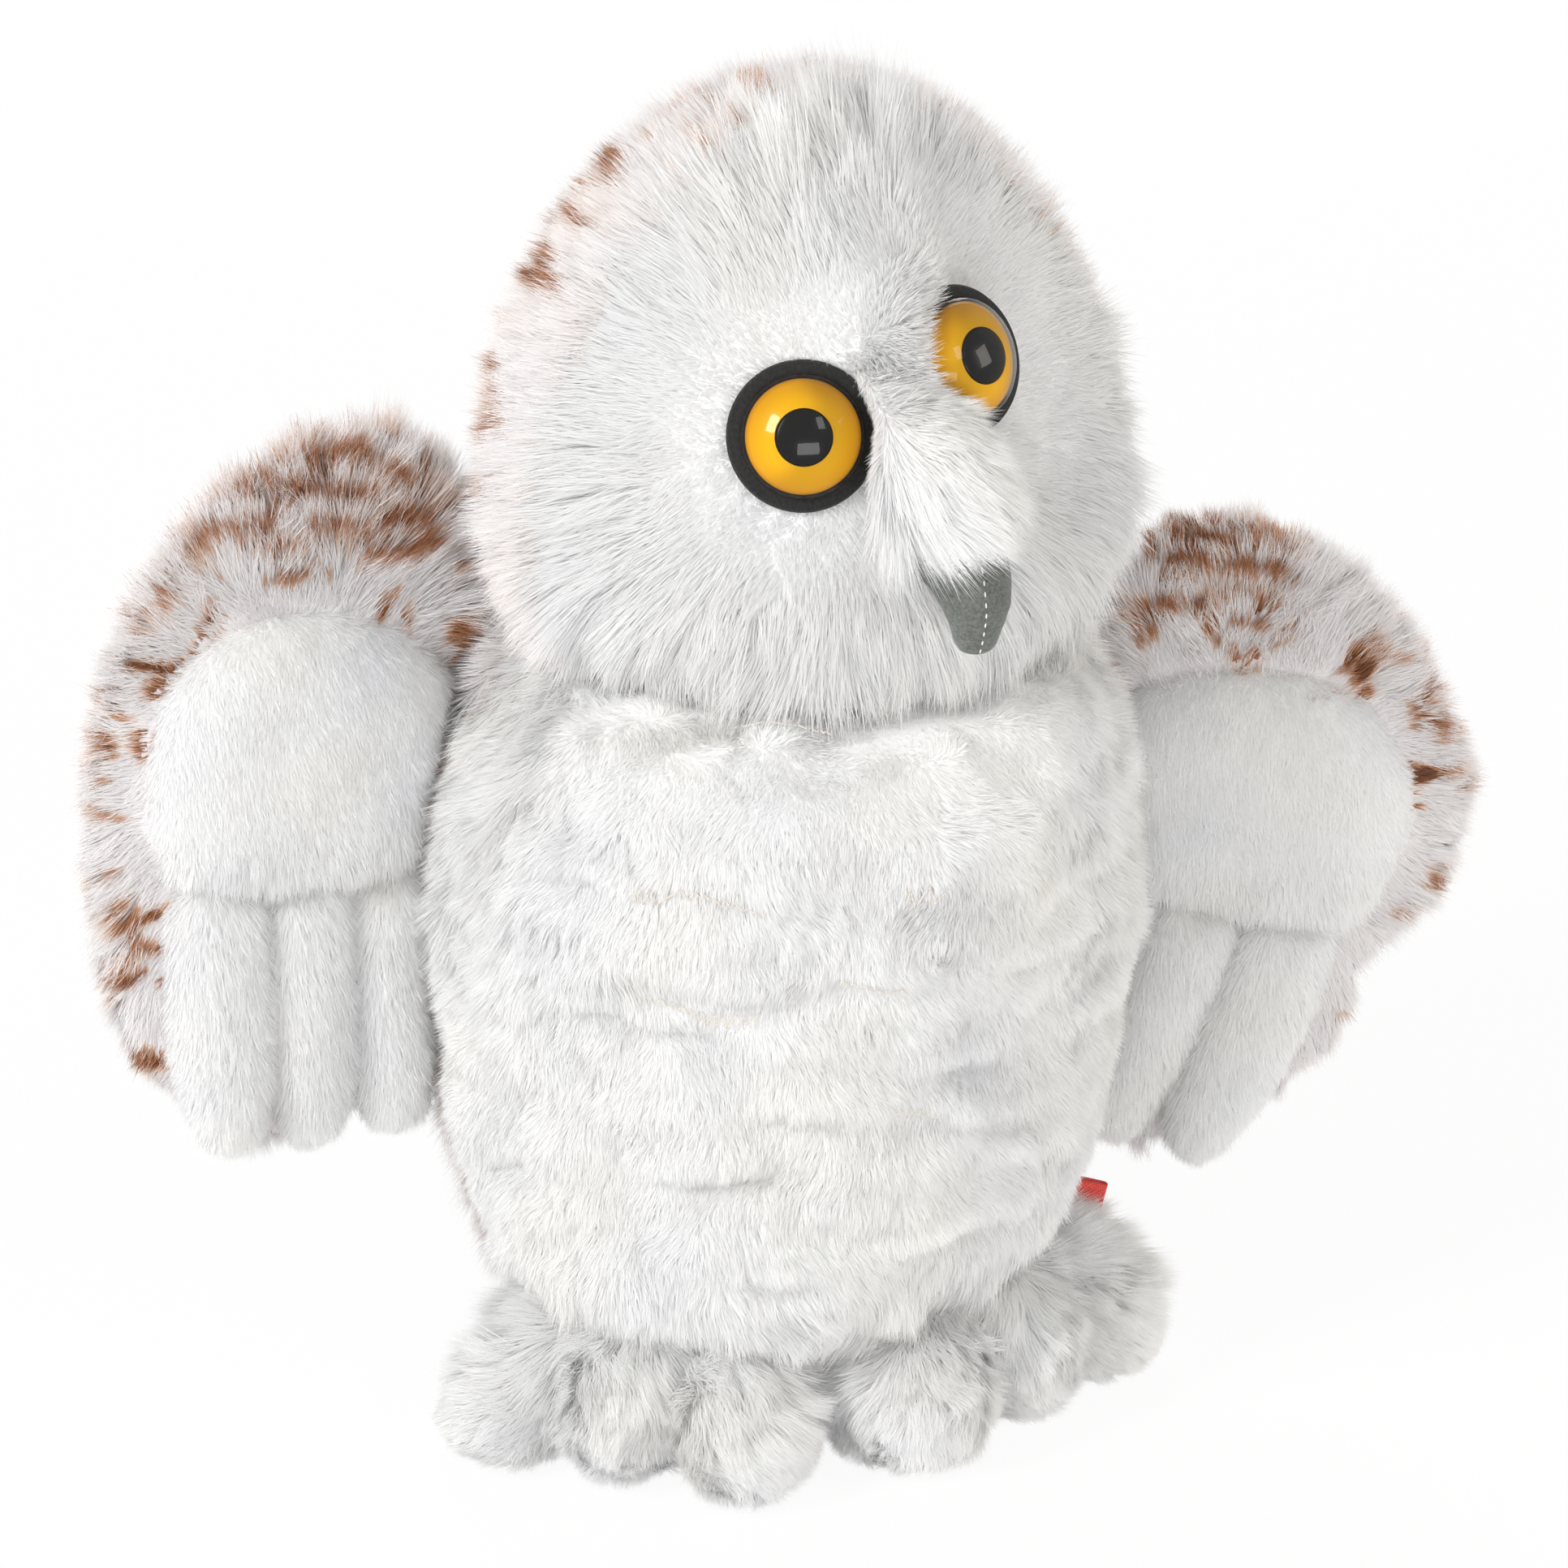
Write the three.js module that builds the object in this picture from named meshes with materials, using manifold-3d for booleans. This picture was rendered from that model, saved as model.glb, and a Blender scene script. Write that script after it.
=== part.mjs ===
// Plush snowy owl, standing with its wings held out: a sewn and stuffed soft toy.
// Millimetres, +Z up. The owl faces -Y, its own left is +X, and its soles rest on Z = 0.
import * as THREE from "three";
import { mergeVertices } from "three/addons/utils/BufferGeometryUtils.js";
import Module from "manifold-3d";

const wasm = await Module();
wasm.setup();

// Cloth and fits
const SEAM_GAP = 0.3; // room between two pieces that are sewn or nested together
const CLOTH = 4; // plush cloth with its pile
const OVERCUT = 20; // how far a cutting shape runs past what it cuts
const REACH = 600; // side of a half space, larger than the whole toy

// Body
const BASE_HEIGHT = 20; // underside of the body above the floor
const WIDEST_HEIGHT = 112;
const NECK_HEIGHT = 176; // plane where the head is sewn on
const BODY_HALF_WIDTH = 72;
const BODY_FRONT_DEPTH = 62;
const BODY_BACK_DEPTH = 57;
const BASE_HALF_WIDTH = 47;
const NECK_HALF_WIDTH = 56;
const BASE_ROUND = 6;
const BASE_SEAM_RISE = 8; // rim of the base panel above the underside
const POUCH_TALL = 38;
const BELLY_FULLNESS = 3; // power of the curve from the widest ring to the base
const SHOULDER_FULLNESS = 3; // power of the curve from the widest ring to the neck

// Head, measured from the neck plane
const HEAD_HALF_WIDTH = 65;
const HEAD_FRONT_DEPTH = 62;
const HEAD_BACK_DEPTH = 61;
const CHEEK_RISE = 24; // widest ring
const CROWN_RISE = 112;
const JAW_DROP = 38; // half height below the widest ring before the neck trims it
const FACE_SEAM_FORWARD = 8; // seam between face cover and back cover, ahead of the middle
const HEAD_ASIDE = 5; // neck to the owl's left of the body's middle
const HEAD_FORWARD = 5; // neck ahead of the body's middle
const HEAD_TURN = 8; // degrees to the owl's left
const HEAD_SWING = 20; // degrees that the head turns each way
const FACE_LIFT = 27; // degrees above level from the middle of the widest ring to the middle of the face
const FACE_ROLL = 15; // degrees that the face is sewn askew, left eye up

// Eyes, set by their directions from the middle of the face
const EYE_LIFT = 13; // degrees above it
const EYE_SPREAD = 17; // degrees each side of straight ahead
const EYE_RADIUS = 12;
const EYE_DOME = 6;
const EYE_FLANGE = 1.2; // straight rim below the dome
const LENS_WALL = 0.8;
const PUPIL_RADIUS = 5.5;
const PUPIL_DEEP = 1.2;
const FELT_RADIUS = 14.7;
const FELT_THICK = 1.5;
const EYE_SEAT = 3; // recess of the felt ring in the face cover
const STEM_RADIUS = 2.5;
const STEM_LENGTH = 15;
const WASHER_RADIUS = 8;
const WASHER_THICK = 2.5;
const WASHER_SINK = 2.5; // front of the washer below the back of the cloth

// Beak and nose bridge, set by their drop below the middle of the face
const BEAK_DROP = 14; // degrees to where the beak leaves the face
const BEAK_OUT = 13; // how far the beak stands out of the face
const BEAK_HANG = 18; // how far its tip hangs below its root
const BEAK_RADIUS = 9;
const BEAK_TIP_RADIUS = 4;
const BEAK_FELT = 1.6;
const BRIDGE_TOP_DROP = -26; // degrees to where the bridge begins
const BRIDGE_LOW_DROP = 8; // and to where it ends over the beak
const BRIDGE_RADIUS = 12;
const BRIDGE_TOP_RADIUS = 7;
const BRIDGE_OUT = 7; // how far the middle of the bridge stands out of the face

// Feet
const FOOT_APART = 27; // ankle from the middle
const FOOT_FORWARD = 6; // ankle ahead of the middle
const FOOT_ASIDE = 1.5; // both feet to the owl's left of the body's middle
const FOOT_STEP = 3; // right foot ahead of that, left foot behind it
const FOOT_SPLAY = 32; // degrees that a foot points outwards
const TOE_REACH = 22; // middle of a toe ahead of the ankle
const TOE_PITCH = 25; // between neighbouring toes
const TOE_FAN = 10; // degrees that an outer toe leans from the middle one
const TOE_RADIUS = 14.5;
const TOE_LENGTH = 21; // half length of a toe
const TOE_SINK = 2.5; // how much of a toe the floor flattens
const ANKLE_RADIUS = 27;
const ANKLE_TALL = 32;
const SOLE_THICK = 2;

// Wings
const WING_SEAM_LOW = 128;
const WING_SEAM_HIGH = 172;
const WING_BEHIND = 17; // degrees behind the owl's side
const LEFT_WING_SWEEP = -16; // degrees that the wing leans back
const RIGHT_WING_SWEEP = -14;
const LEFT_WING_RAISE = -15; // degrees, tip up
const RIGHT_WING_RAISE = 5;
const LEFT_WING_SLUMP = 16; // how much lower its seam sits than the right one
const WING_SPAN = 85;
const LEFT_WING_RISE = 58; // top of the wing above the middle of its seam
const RIGHT_WING_RISE = 68;
const WING_DROP = 93; // tips of the wing below it
const WING_FRONT = 9;
const WING_BACK = 13;
const WING_SWING_FORWARD = 10;
const WING_SWING_BACK = 30;
const SWING_STEP = 5;
const COVERT_HALF_WIDTH = 36;
const COVERT_HALF_TALL = 28;
const COVERT_OUT = 37; // middle of the pad from the seam
const COVERT_FRONT = 10;
const COVERT_BACK = 5;
const PAD_FORWARD = 6; // pads ahead of the middle layer of the wing
const FEATHER_HALF_WIDTH = 9;
const FEATHER_LENGTH = 76;
const FEATHER_FRONT = 7;
const FEATHER_BACK = 5;
const FEATHER_PITCH = 18.6;
const FEATHER_FIRST_OUT = 15; // inner feather from the seam
const FEATHER_LEAN = 5; // degrees that the tips lean to the body
const FILL_INSET = 0.74; // share of the wing outline that the stuffing takes
const FILL_THICK = 7;
const FILL_FORWARD = 2.5; // front of the stuffing ahead of the middle layer, open to the pads

// Tail
const TAIL_RISE = 50; // seam of the tail above the floor
const TAIL_HALF_WIDTH = 29;
const TAIL_LENGTH = 46;
const TAIL_THICK = 16;
const TAIL_SLOPE = 34; // degrees below level
const TAIL_PANEL = 3;
const TAIL_LIFT_UP = 30;
const TAIL_LIFT_DOWN = 6;

// Labels
const LABEL_RISE = 29;
const LABEL_TALL = 10;
const LABEL_OUT = 14;
const LABEL_SHEET = 0.6;
const LABEL_FOLD = 0.7; // room inside the folded ribbon
const CARE_TALL = 12;
const CARE_OUT = 12;

// Facets
const BODY_SIDES = 24;
const BODY_RINGS = 9;
const HEAD_RINGS = 10;
const PAD_RINGS = 3;
const PAD_FULLNESS = 0.7; // below 1, a pad stays thick nearer to its rim
const WING_POINTS = 20;
const EYE_SIDES = 24;
const TOE_SIDES = 8;
const ANKLE_SIDES = 12;

const rad = THREE.MathUtils.degToRad;
const plush = (color) => new THREE.MeshStandardMaterial({ color, roughness: 0.95, metalness: 0 });
const WHITE_PLUSH = plush(0xf0efec);
const PRINTED_PLUSH = plush(0xcbbcb0);
const FILLING = plush(0xe4e4e0);
const PELLET_CLOTH = plush(0xd8d2c4);
const GREY_FELT = plush(0x6a6e67);
const BLACK_FELT = plush(0x282625);
const RED_RIBBON = plush(0xcc3219);
const CARE_CLOTH = plush(0xf4f2ee);
const AMBER = new THREE.MeshStandardMaterial({ color: 0xf0a60c, roughness: 0.15, metalness: 0 });
const BLACK_GLOSS = new THREE.MeshStandardMaterial({ color: 0x080808, roughness: 0.1, metalness: 0 });
const CLEAR = new THREE.MeshStandardMaterial({
  color: 0xffffff,
  roughness: 0.05,
  metalness: 0,
  transparent: true,
  opacity: 0.15,
});
const WASHER_PLASTIC = new THREE.MeshStandardMaterial({ color: 0xe8e8e4, roughness: 0.5, metalness: 0 });

const owl = new THREE.Group();
owl.name = "plush_owl";

// Turns a closed surface so that its faces look outwards.
function facingOut(geometry) {
  const index = geometry.index.array;
  const at = geometry.attributes.position;
  const corner = [0, 1, 2].map(() => new THREE.Vector3());
  let volume = 0;
  for (let i = 0; i < index.length; i += 3) {
    corner.forEach((v, k) => v.fromBufferAttribute(at, index[i + k]));
    volume += corner[0].dot(corner[1].clone().cross(corner[2]));
  }
  if (volume < 0) {
    for (let i = 0; i < index.length; i += 3) {
      [index[i + 1], index[i + 2]] = [index[i + 2], index[i + 1]];
    }
  }
  return geometry;
}

// A closed surface through rings of points, each end closed by a fan onto a point of its own,
// or else onto the middle of the end ring.
function skin(rings, ...ends) {
  const sides = rings[0].length;
  const points = rings.flat();
  const index = [];
  for (let j = 0; j + 1 < rings.length; j++) {
    for (let i = 0; i < sides; i++) {
      const a = j * sides + i;
      const b = j * sides + ((i + 1) % sides);
      index.push(a, b, b + sides, a, b + sides, a + sides);
    }
  }
  for (const end of [0, rings.length - 1]) {
    const middle = new THREE.Vector3();
    rings[end].forEach((p) => middle.addScaledVector(p, 1 / sides));
    points.push(ends[end ? 1 : 0] ?? middle);
    for (let i = 0; i < sides; i++) {
      const a = end * sides + i;
      const b = end * sides + ((i + 1) % sides);
      index.push(...(end ? [a, b, points.length - 1] : [b, a, points.length - 1]));
    }
  }
  const geometry = new THREE.BufferGeometry().setFromPoints(points);
  geometry.setIndex(index);
  return facingOut(geometry);
}

// The solid inside a closed geometry.
function solid(geometry) {
  const bare = geometry.clone();
  bare.deleteAttribute("normal");
  bare.deleteAttribute("uv");
  const merged = mergeVertices(bare, 1e-4);
  return new wasm.Manifold(
    new wasm.Mesh({
      numProp: 3,
      vertProperties: new Float32Array(merged.attributes.position.array),
      triVerts: new Uint32Array(merged.index.array),
    }),
  );
}

// A copy of a surface moved along its own normals.
function swollen(geometry, by) {
  const grown = geometry.clone();
  grown.computeVertexNormals();
  const at = grown.attributes.position;
  const out = grown.attributes.normal;
  for (let i = 0; i < at.count; i++) {
    at.setXYZ(i, at.getX(i) + by * out.getX(i), at.getY(i) + by * out.getY(i), at.getZ(i) + by * out.getZ(i));
  }
  return grown;
}

// A half space: everything on one side of a level or upright plane.
function halfSpace(axis, from, sign) {
  const box = new THREE.BoxGeometry(REACH, REACH, REACH);
  const shift = new THREE.Vector3();
  shift[axis] = from + (sign * REACH) / 2;
  return box.translate(shift.x, shift.y, shift.z);
}

function cut(shape, ...others) {
  return others.reduce((left, other) => left.subtract(other), shape);
}

function common(shape, ...others) {
  return others.reduce((left, other) => left.intersect(other), shape);
}

function add(parent, name, shape, material) {
  const mesh = shape.getMesh();
  const geometry = new THREE.BufferGeometry();
  geometry.setAttribute("position", new THREE.BufferAttribute(new Float32Array(mesh.vertProperties), 3));
  geometry.setIndex(new THREE.BufferAttribute(new Uint32Array(mesh.triVerts), 1));
  const piece = new THREE.Mesh(geometry, material);
  piece.name = name;
  parent.add(piece);
}

// An oval ring with its own depth in front and behind.
function ovalRing(halfWidth, front, back, z) {
  return Array.from({ length: BODY_SIDES }, (_, i) => {
    const turn = (2 * Math.PI * i) / BODY_SIDES;
    const y = Math.sin(turn);
    return new THREE.Vector3(halfWidth * Math.cos(turn), y * (y < 0 ? front : back), z);
  });
}

// Half width of the body at a height: full at the belly, drawn in to the neck and to the base.
function bodyHalfWidth(z) {
  if (z < WIDEST_HEIGHT) {
    const share = (WIDEST_HEIGHT - z) / (WIDEST_HEIGHT - BASE_HEIGHT);
    return BODY_HALF_WIDTH - (BODY_HALF_WIDTH - BASE_HALF_WIDTH) * share ** BELLY_FULLNESS;
  }
  const share = (z - WIDEST_HEIGHT) / (NECK_HEIGHT - WIDEST_HEIGHT);
  return BODY_HALF_WIDTH - (BODY_HALF_WIDTH - NECK_HALF_WIDTH) * share ** SHOULDER_FULLNESS;
}

function bodyRing(z, inset) {
  const halfWidth = bodyHalfWidth(z);
  const share = halfWidth / BODY_HALF_WIDTH;
  return ovalRing(halfWidth - inset, BODY_FRONT_DEPTH * share - inset, BODY_BACK_DEPTH * share - inset, z);
}

// The body as nested skins: the outside of the cover, its inside, and the filling.
function bodySkin(inset, neckExtra) {
  const base = BASE_HEIGHT + inset;
  const rings = [ovalRing(...baseOval(inset), base)];
  for (let j = 0; j <= BODY_RINGS; j++) {
    const low = base + BASE_ROUND;
    rings.push(bodyRing(low + ((NECK_HEIGHT - low) * j) / BODY_RINGS, inset));
  }
  if (neckExtra) {
    rings.push(rings.at(-1).map((p) => p.clone().setZ(NECK_HEIGHT + neckExtra)));
  }
  return skin(rings);
}

function baseOval(inset) {
  const share = BASE_HALF_WIDTH / BODY_HALF_WIDTH;
  const pull = inset + BASE_ROUND;
  return [BASE_HALF_WIDTH - pull, BODY_FRONT_DEPTH * share - pull, BODY_BACK_DEPTH * share - pull];
}

const bodyOutside = bodySkin(0, 0);
const bodyRoom = swollen(bodyOutside, SEAM_GAP);

// Body: base panel, front and back covers sewn at the sides, pellets low down, filling above.
function addBody() {
  const seam = BASE_HEIGHT + BASE_SEAM_RISE;
  const pouchTop = BASE_HEIGHT + CLOTH + POUCH_TALL;
  const cover = cut(solid(bodyOutside), solid(bodySkin(CLOTH, OVERCUT)));
  const above = solid(halfSpace("z", seam + SEAM_GAP, 1));
  const core = solid(bodySkin(CLOTH + SEAM_GAP, 0));
  add(owl, "body_base_panel", common(cover, solid(halfSpace("z", seam, -1))), WHITE_PLUSH);
  add(owl, "body_front_cover", common(cover, above, solid(halfSpace("y", -SEAM_GAP / 2, -1))), WHITE_PLUSH);
  add(owl, "body_back_cover", common(cover, above, solid(halfSpace("y", SEAM_GAP / 2, 1))), PRINTED_PLUSH);
  add(owl, "pellet_pouch", common(core, solid(halfSpace("z", pouchTop, -1))), PELLET_CLOTH);
  add(owl, "body_stuffing", common(core, solid(halfSpace("z", pouchTop + SEAM_GAP, 1))), FILLING);
}

// Head, in its own frame: its origin is the middle of the neck plane.
const head = new THREE.Group();
head.name = "head";
head.position.set(HEAD_ASIDE, -HEAD_FORWARD, NECK_HEIGHT);
head.rotation.set(0, 0, rad(HEAD_TURN));
head.updateMatrix();
owl.add(head);

function headSkin(inset) {
  const rings = [];
  for (let j = 1; j < HEAD_RINGS; j++) {
    const polar = (Math.PI * j) / HEAD_RINGS;
    const up = -Math.cos(polar);
    const round = Math.sin(polar);
    const rise = CHEEK_RISE + up * ((up > 0 ? CROWN_RISE - CHEEK_RISE : JAW_DROP) - inset);
    const size = [HEAD_HALF_WIDTH, HEAD_FRONT_DEPTH, HEAD_BACK_DEPTH].map((s) => (s - inset) * round);
    rings.push(ovalRing(...size, rise));
  }
  const jaw = new THREE.Vector3(0, 0, CHEEK_RISE - JAW_DROP + inset);
  const crown = new THREE.Vector3(0, 0, CROWN_RISE - inset);
  return skin(rings, jaw, crown);
}

const headOutside = headSkin(0);
const headRoom = swollen(headOutside, SEAM_GAP);

// A point on the outside of the head in a direction of the askew face: degrees aside and above its middle.
function facePoint(aside, lift) {
  const way = new THREE.Vector3(0, -1, 0)
    .applyAxisAngle(new THREE.Vector3(1, 0, 0), -rad(lift))
    .applyAxisAngle(new THREE.Vector3(0, 0, 1), rad(aside))
    .applyAxisAngle(new THREE.Vector3(0, 1, 0), -rad(FACE_ROLL))
    .applyAxisAngle(new THREE.Vector3(1, 0, 0), -rad(FACE_LIFT));
  const size = new THREE.Vector3(
    HEAD_HALF_WIDTH,
    HEAD_FRONT_DEPTH,
    way.z > 0 ? CROWN_RISE - CHEEK_RISE : JAW_DROP,
  );
  const place = way.multiplyScalar(1 / way.clone().divide(size).length());
  const out = place.clone().divide(size).divide(size).normalize();
  place.z += CHEEK_RISE;
  return { place, out };
}

// Frame of one eye: on the face, looking out along its own +Z.
function eyeFrame(side) {
  const { place, out } = facePoint(side * EYE_SPREAD, EYE_LIFT);
  const turn = new THREE.Quaternion().setFromUnitVectors(new THREE.Vector3(0, 0, 1), out);
  return new THREE.Matrix4().compose(place, turn, new THREE.Vector3(1, 1, 1));
}

// A round rod along +Z between two heights.
function rod(radius, low, high, sides) {
  return new THREE.CylinderGeometry(radius, radius, high - low, sides)
    .rotateX(Math.PI / 2)
    .translate(0, 0, (low + high) / 2);
}

const eyeSpace = [-1, 1].map((side) => {
  const frame = eyeFrame(side);
  const seat = rod(FELT_RADIUS + SEAM_GAP, -EYE_SEAT, OVERCUT, EYE_SIDES);
  const hole = rod(STEM_RADIUS + SEAM_GAP, -STEM_LENGTH, OVERCUT, EYE_SIDES / 2);
  const pocket = rod(WASHER_RADIUS + SEAM_GAP, -STEM_LENGTH - SEAM_GAP - EYE_SEAT, OVERCUT, EYE_SIDES);
  return [seat, hole, pocket].map((space) => solid(space.applyMatrix4(frame)));
});

function addHead() {
  const trim = solid(halfSpace("z", SEAM_GAP, -1));
  const seats = eyeSpace.flatMap(([seat, hole]) => [seat, hole]);
  const pockets = eyeSpace.map(([, , pocket]) => pocket);
  const cover = cut(solid(headOutside), solid(headSkin(CLOTH)), trim, ...seats);
  const core = cut(solid(headSkin(CLOTH + SEAM_GAP)), trim, ...pockets);
  const ahead = solid(halfSpace("y", -FACE_SEAM_FORWARD - SEAM_GAP, -1));
  const behind = solid(halfSpace("y", -FACE_SEAM_FORWARD, 1));
  add(head, "head_face_cover", common(cover, ahead), WHITE_PLUSH);
  add(head, "head_back_cover", common(cover, behind), PRINTED_PLUSH);
  add(head, "head_stuffing", core, FILLING);
}

// A round button turned about +Z: a dome on a straight rim that runs down to a flat back.
function button(radius, dome, rim, back) {
  const steps = 4;
  const profile = [new THREE.Vector2(0, back), new THREE.Vector2(radius, back)];
  for (let k = 0; k <= steps; k++) {
    const polar = (Math.PI / 2) * (k / steps);
    profile.push(new THREE.Vector2(radius * Math.cos(polar), rim + dome * Math.sin(polar)));
  }
  return solid(new THREE.LatheGeometry(profile, EYE_SIDES).rotateX(Math.PI / 2));
}

// One safety eye: felt ring, amber iris with its stem, pupil let into it, clear lens, lock washer.
function addEye(side, word) {
  const eye = new THREE.Group();
  eye.name = word + "_eye";
  eyeFrame(side).decompose(eye.position, eye.quaternion, eye.scale);
  head.add(eye);
  const feltLow = SEAM_GAP - EYE_SEAT;
  const feltTop = feltLow + FELT_THICK;
  const back = feltTop + SEAM_GAP;
  const rim = back + EYE_FLANGE;
  const inner = EYE_RADIUS - LENS_WALL - SEAM_GAP;
  const innerDome = EYE_DOME - LENS_WALL - SEAM_GAP;
  const washerTop = -CLOTH - WASHER_SINK;
  const stemTip = feltLow - STEM_LENGTH + EYE_SEAT;
  const felt = rod(FELT_RADIUS, feltLow, feltTop, EYE_SIDES);
  const feltHole = rod(STEM_RADIUS + SEAM_GAP, feltLow - SEAM_GAP, feltTop + SEAM_GAP, EYE_SIDES / 2);
  add(eye, word + "_eye_felt_ring", cut(solid(felt), solid(feltHole)), BLACK_FELT);
  const pupilLow = rim + innerDome - PUPIL_DEEP;
  const dome = button(inner, innerDome, rim, back);
  const stem = solid(rod(STEM_RADIUS, stemTip, back + EYE_FLANGE / 2, EYE_SIDES / 2));
  const recess = solid(rod(PUPIL_RADIUS + SEAM_GAP, pupilLow - SEAM_GAP, OVERCUT, EYE_SIDES));
  add(eye, word + "_eye_iris", cut(dome.add(stem), recess), AMBER);
  const pupil = common(dome, solid(rod(PUPIL_RADIUS, pupilLow, OVERCUT, EYE_SIDES)));
  add(eye, word + "_eye_pupil", pupil, BLACK_GLOSS);
  const lens = button(EYE_RADIUS, EYE_DOME, rim, back);
  const lensRoom = button(inner + SEAM_GAP, innerDome + SEAM_GAP, rim, back - OVERCUT);
  add(eye, word + "_eye_lens", cut(lens, lensRoom), CLEAR);
  const washer = solid(rod(WASHER_RADIUS, washerTop - WASHER_THICK, washerTop, EYE_SIDES));
  const washerHole = solid(rod(STEM_RADIUS + SEAM_GAP, -REACH / 2, OVERCUT, EYE_SIDES / 2));
  add(eye, word + "_eye_lock_washer", cut(washer, washerHole), WASHER_PLASTIC);
}

// A round limb along a curve, with a radius at each of its points.
function limb(points, radii, sides) {
  const curve = new THREE.CatmullRomCurve3(points);
  const steps = 8;
  const frames = curve.computeFrenetFrames(steps, false);
  const swell = new THREE.SplineCurve(radii.map((r, i) => new THREE.Vector2(i, r)));
  const rings = [];
  for (let j = 0; j <= steps; j++) {
    const middle = curve.getPointAt(j / steps);
    const radius = swell.getPoint(j / steps).y;
    rings.push(
      Array.from({ length: sides }, (_, i) => {
        const turn = (2 * Math.PI * i) / sides;
        return middle
          .clone()
          .addScaledVector(frames.normals[j], radius * Math.cos(turn))
          .addScaledVector(frames.binormals[j], radius * Math.sin(turn));
      }),
    );
  }
  const tip = points.at(-1).clone().addScaledVector(frames.tangents[steps], radii.at(-1) / 2);
  return skin(rings, undefined, tip);
}

// A curved felt beak under a furry bridge, both sewn to the front of the askew face.
function addBeak() {
  const sides = 12;
  const down = new THREE.Vector3(0, 0, -1);
  const root = facePoint(0, -BEAK_DROP);
  const beakAt = (out, hang) => root.place.clone().addScaledVector(root.out, out).addScaledVector(down, hang);
  const beakLine = [
    beakAt(-CLOTH * 2, 0),
    beakAt(BEAK_OUT * 0.55, BEAK_HANG * 0.06),
    beakAt(BEAK_OUT, BEAK_HANG * 0.45),
    beakAt(BEAK_OUT, BEAK_HANG),
  ];
  const beakSkin = (inset) =>
    limb(
      beakLine,
      [BEAK_RADIUS, BEAK_RADIUS, BEAK_RADIUS * 0.85, BEAK_TIP_RADIUS].map((r) => r - inset),
      sides,
    );
  const headSpace = solid(headRoom);
  const outside = solid(beakSkin(0));
  const middle = new THREE.Group();
  middle.position.copy(root.place);
  middle.updateMatrix();
  const sideOf = (sign) => solid(halfSpace("x", (sign * SEAM_GAP) / 2, sign).applyMatrix4(middle.matrix));
  const aboveTip = (layer) => solid(halfSpace("z", layer - BEAK_HANG, 1).applyMatrix4(middle.matrix));
  const room = common(solid(beakSkin(BEAK_FELT)), aboveTip(BEAK_FELT));
  const felt = cut(outside, room, headSpace);
  add(head, "beak_left_felt", common(felt, sideOf(1)), GREY_FELT);
  add(head, "beak_right_felt", common(felt, sideOf(-1)), GREY_FELT);
  const filling = common(solid(beakSkin(BEAK_FELT + SEAM_GAP)), aboveTip(BEAK_FELT + SEAM_GAP));
  add(head, "beak_stuffing", cut(filling, headSpace), FILLING);
  const bridgeAt = (lift, out) => {
    const { place, out: way } = facePoint(0, lift);
    return place.addScaledVector(way, out);
  };
  const bridgeLine = [
    bridgeAt(-BRIDGE_TOP_DROP, -BRIDGE_TOP_RADIUS),
    bridgeAt(-(2 * BRIDGE_TOP_DROP + BRIDGE_LOW_DROP) / 3, 0),
    bridgeAt(-(BRIDGE_TOP_DROP + 2 * BRIDGE_LOW_DROP) / 3, BRIDGE_OUT * 0.8),
    bridgeAt(-BRIDGE_LOW_DROP, BRIDGE_OUT),
  ];
  const bridge = limb(
    bridgeLine,
    [BRIDGE_TOP_RADIUS, BRIDGE_TOP_RADIUS, BRIDGE_RADIUS, BRIDGE_RADIUS],
    sides,
  );
  const seats = eyeSpace.map(([seat]) => seat);
  const beakSpace = solid(swollen(beakSkin(0), SEAM_GAP));
  add(head, "nose_bridge", cut(solid(bridge), headSpace, beakSpace, ...seats), WHITE_PLUSH);
}

// A ball drawn out to its own half length, width and height.
function ball(halfWidth, halfLength, halfTall, sides) {
  return new THREE.SphereGeometry(1, sides, Math.round(sides * 0.6)).scale(halfWidth, halfLength, halfTall);
}

// One foot as nested skins: three plump toes side by side ahead of an ankle.
function footShape(inset) {
  const shapes = [-1, 0, 1].map((toe) =>
    ball(TOE_RADIUS - inset, TOE_LENGTH - inset, TOE_RADIUS - inset, TOE_SIDES)
      .rotateZ(rad(TOE_FAN) * toe)
      .translate(TOE_PITCH * toe, -TOE_REACH, TOE_RADIUS - TOE_SINK),
  );
  shapes.push(ball(ANKLE_RADIUS - inset, ANKLE_RADIUS - inset, ANKLE_TALL - inset, ANKLE_SIDES));
  return shapes.map(solid).reduce((whole, shape) => whole.add(shape));
}

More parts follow.
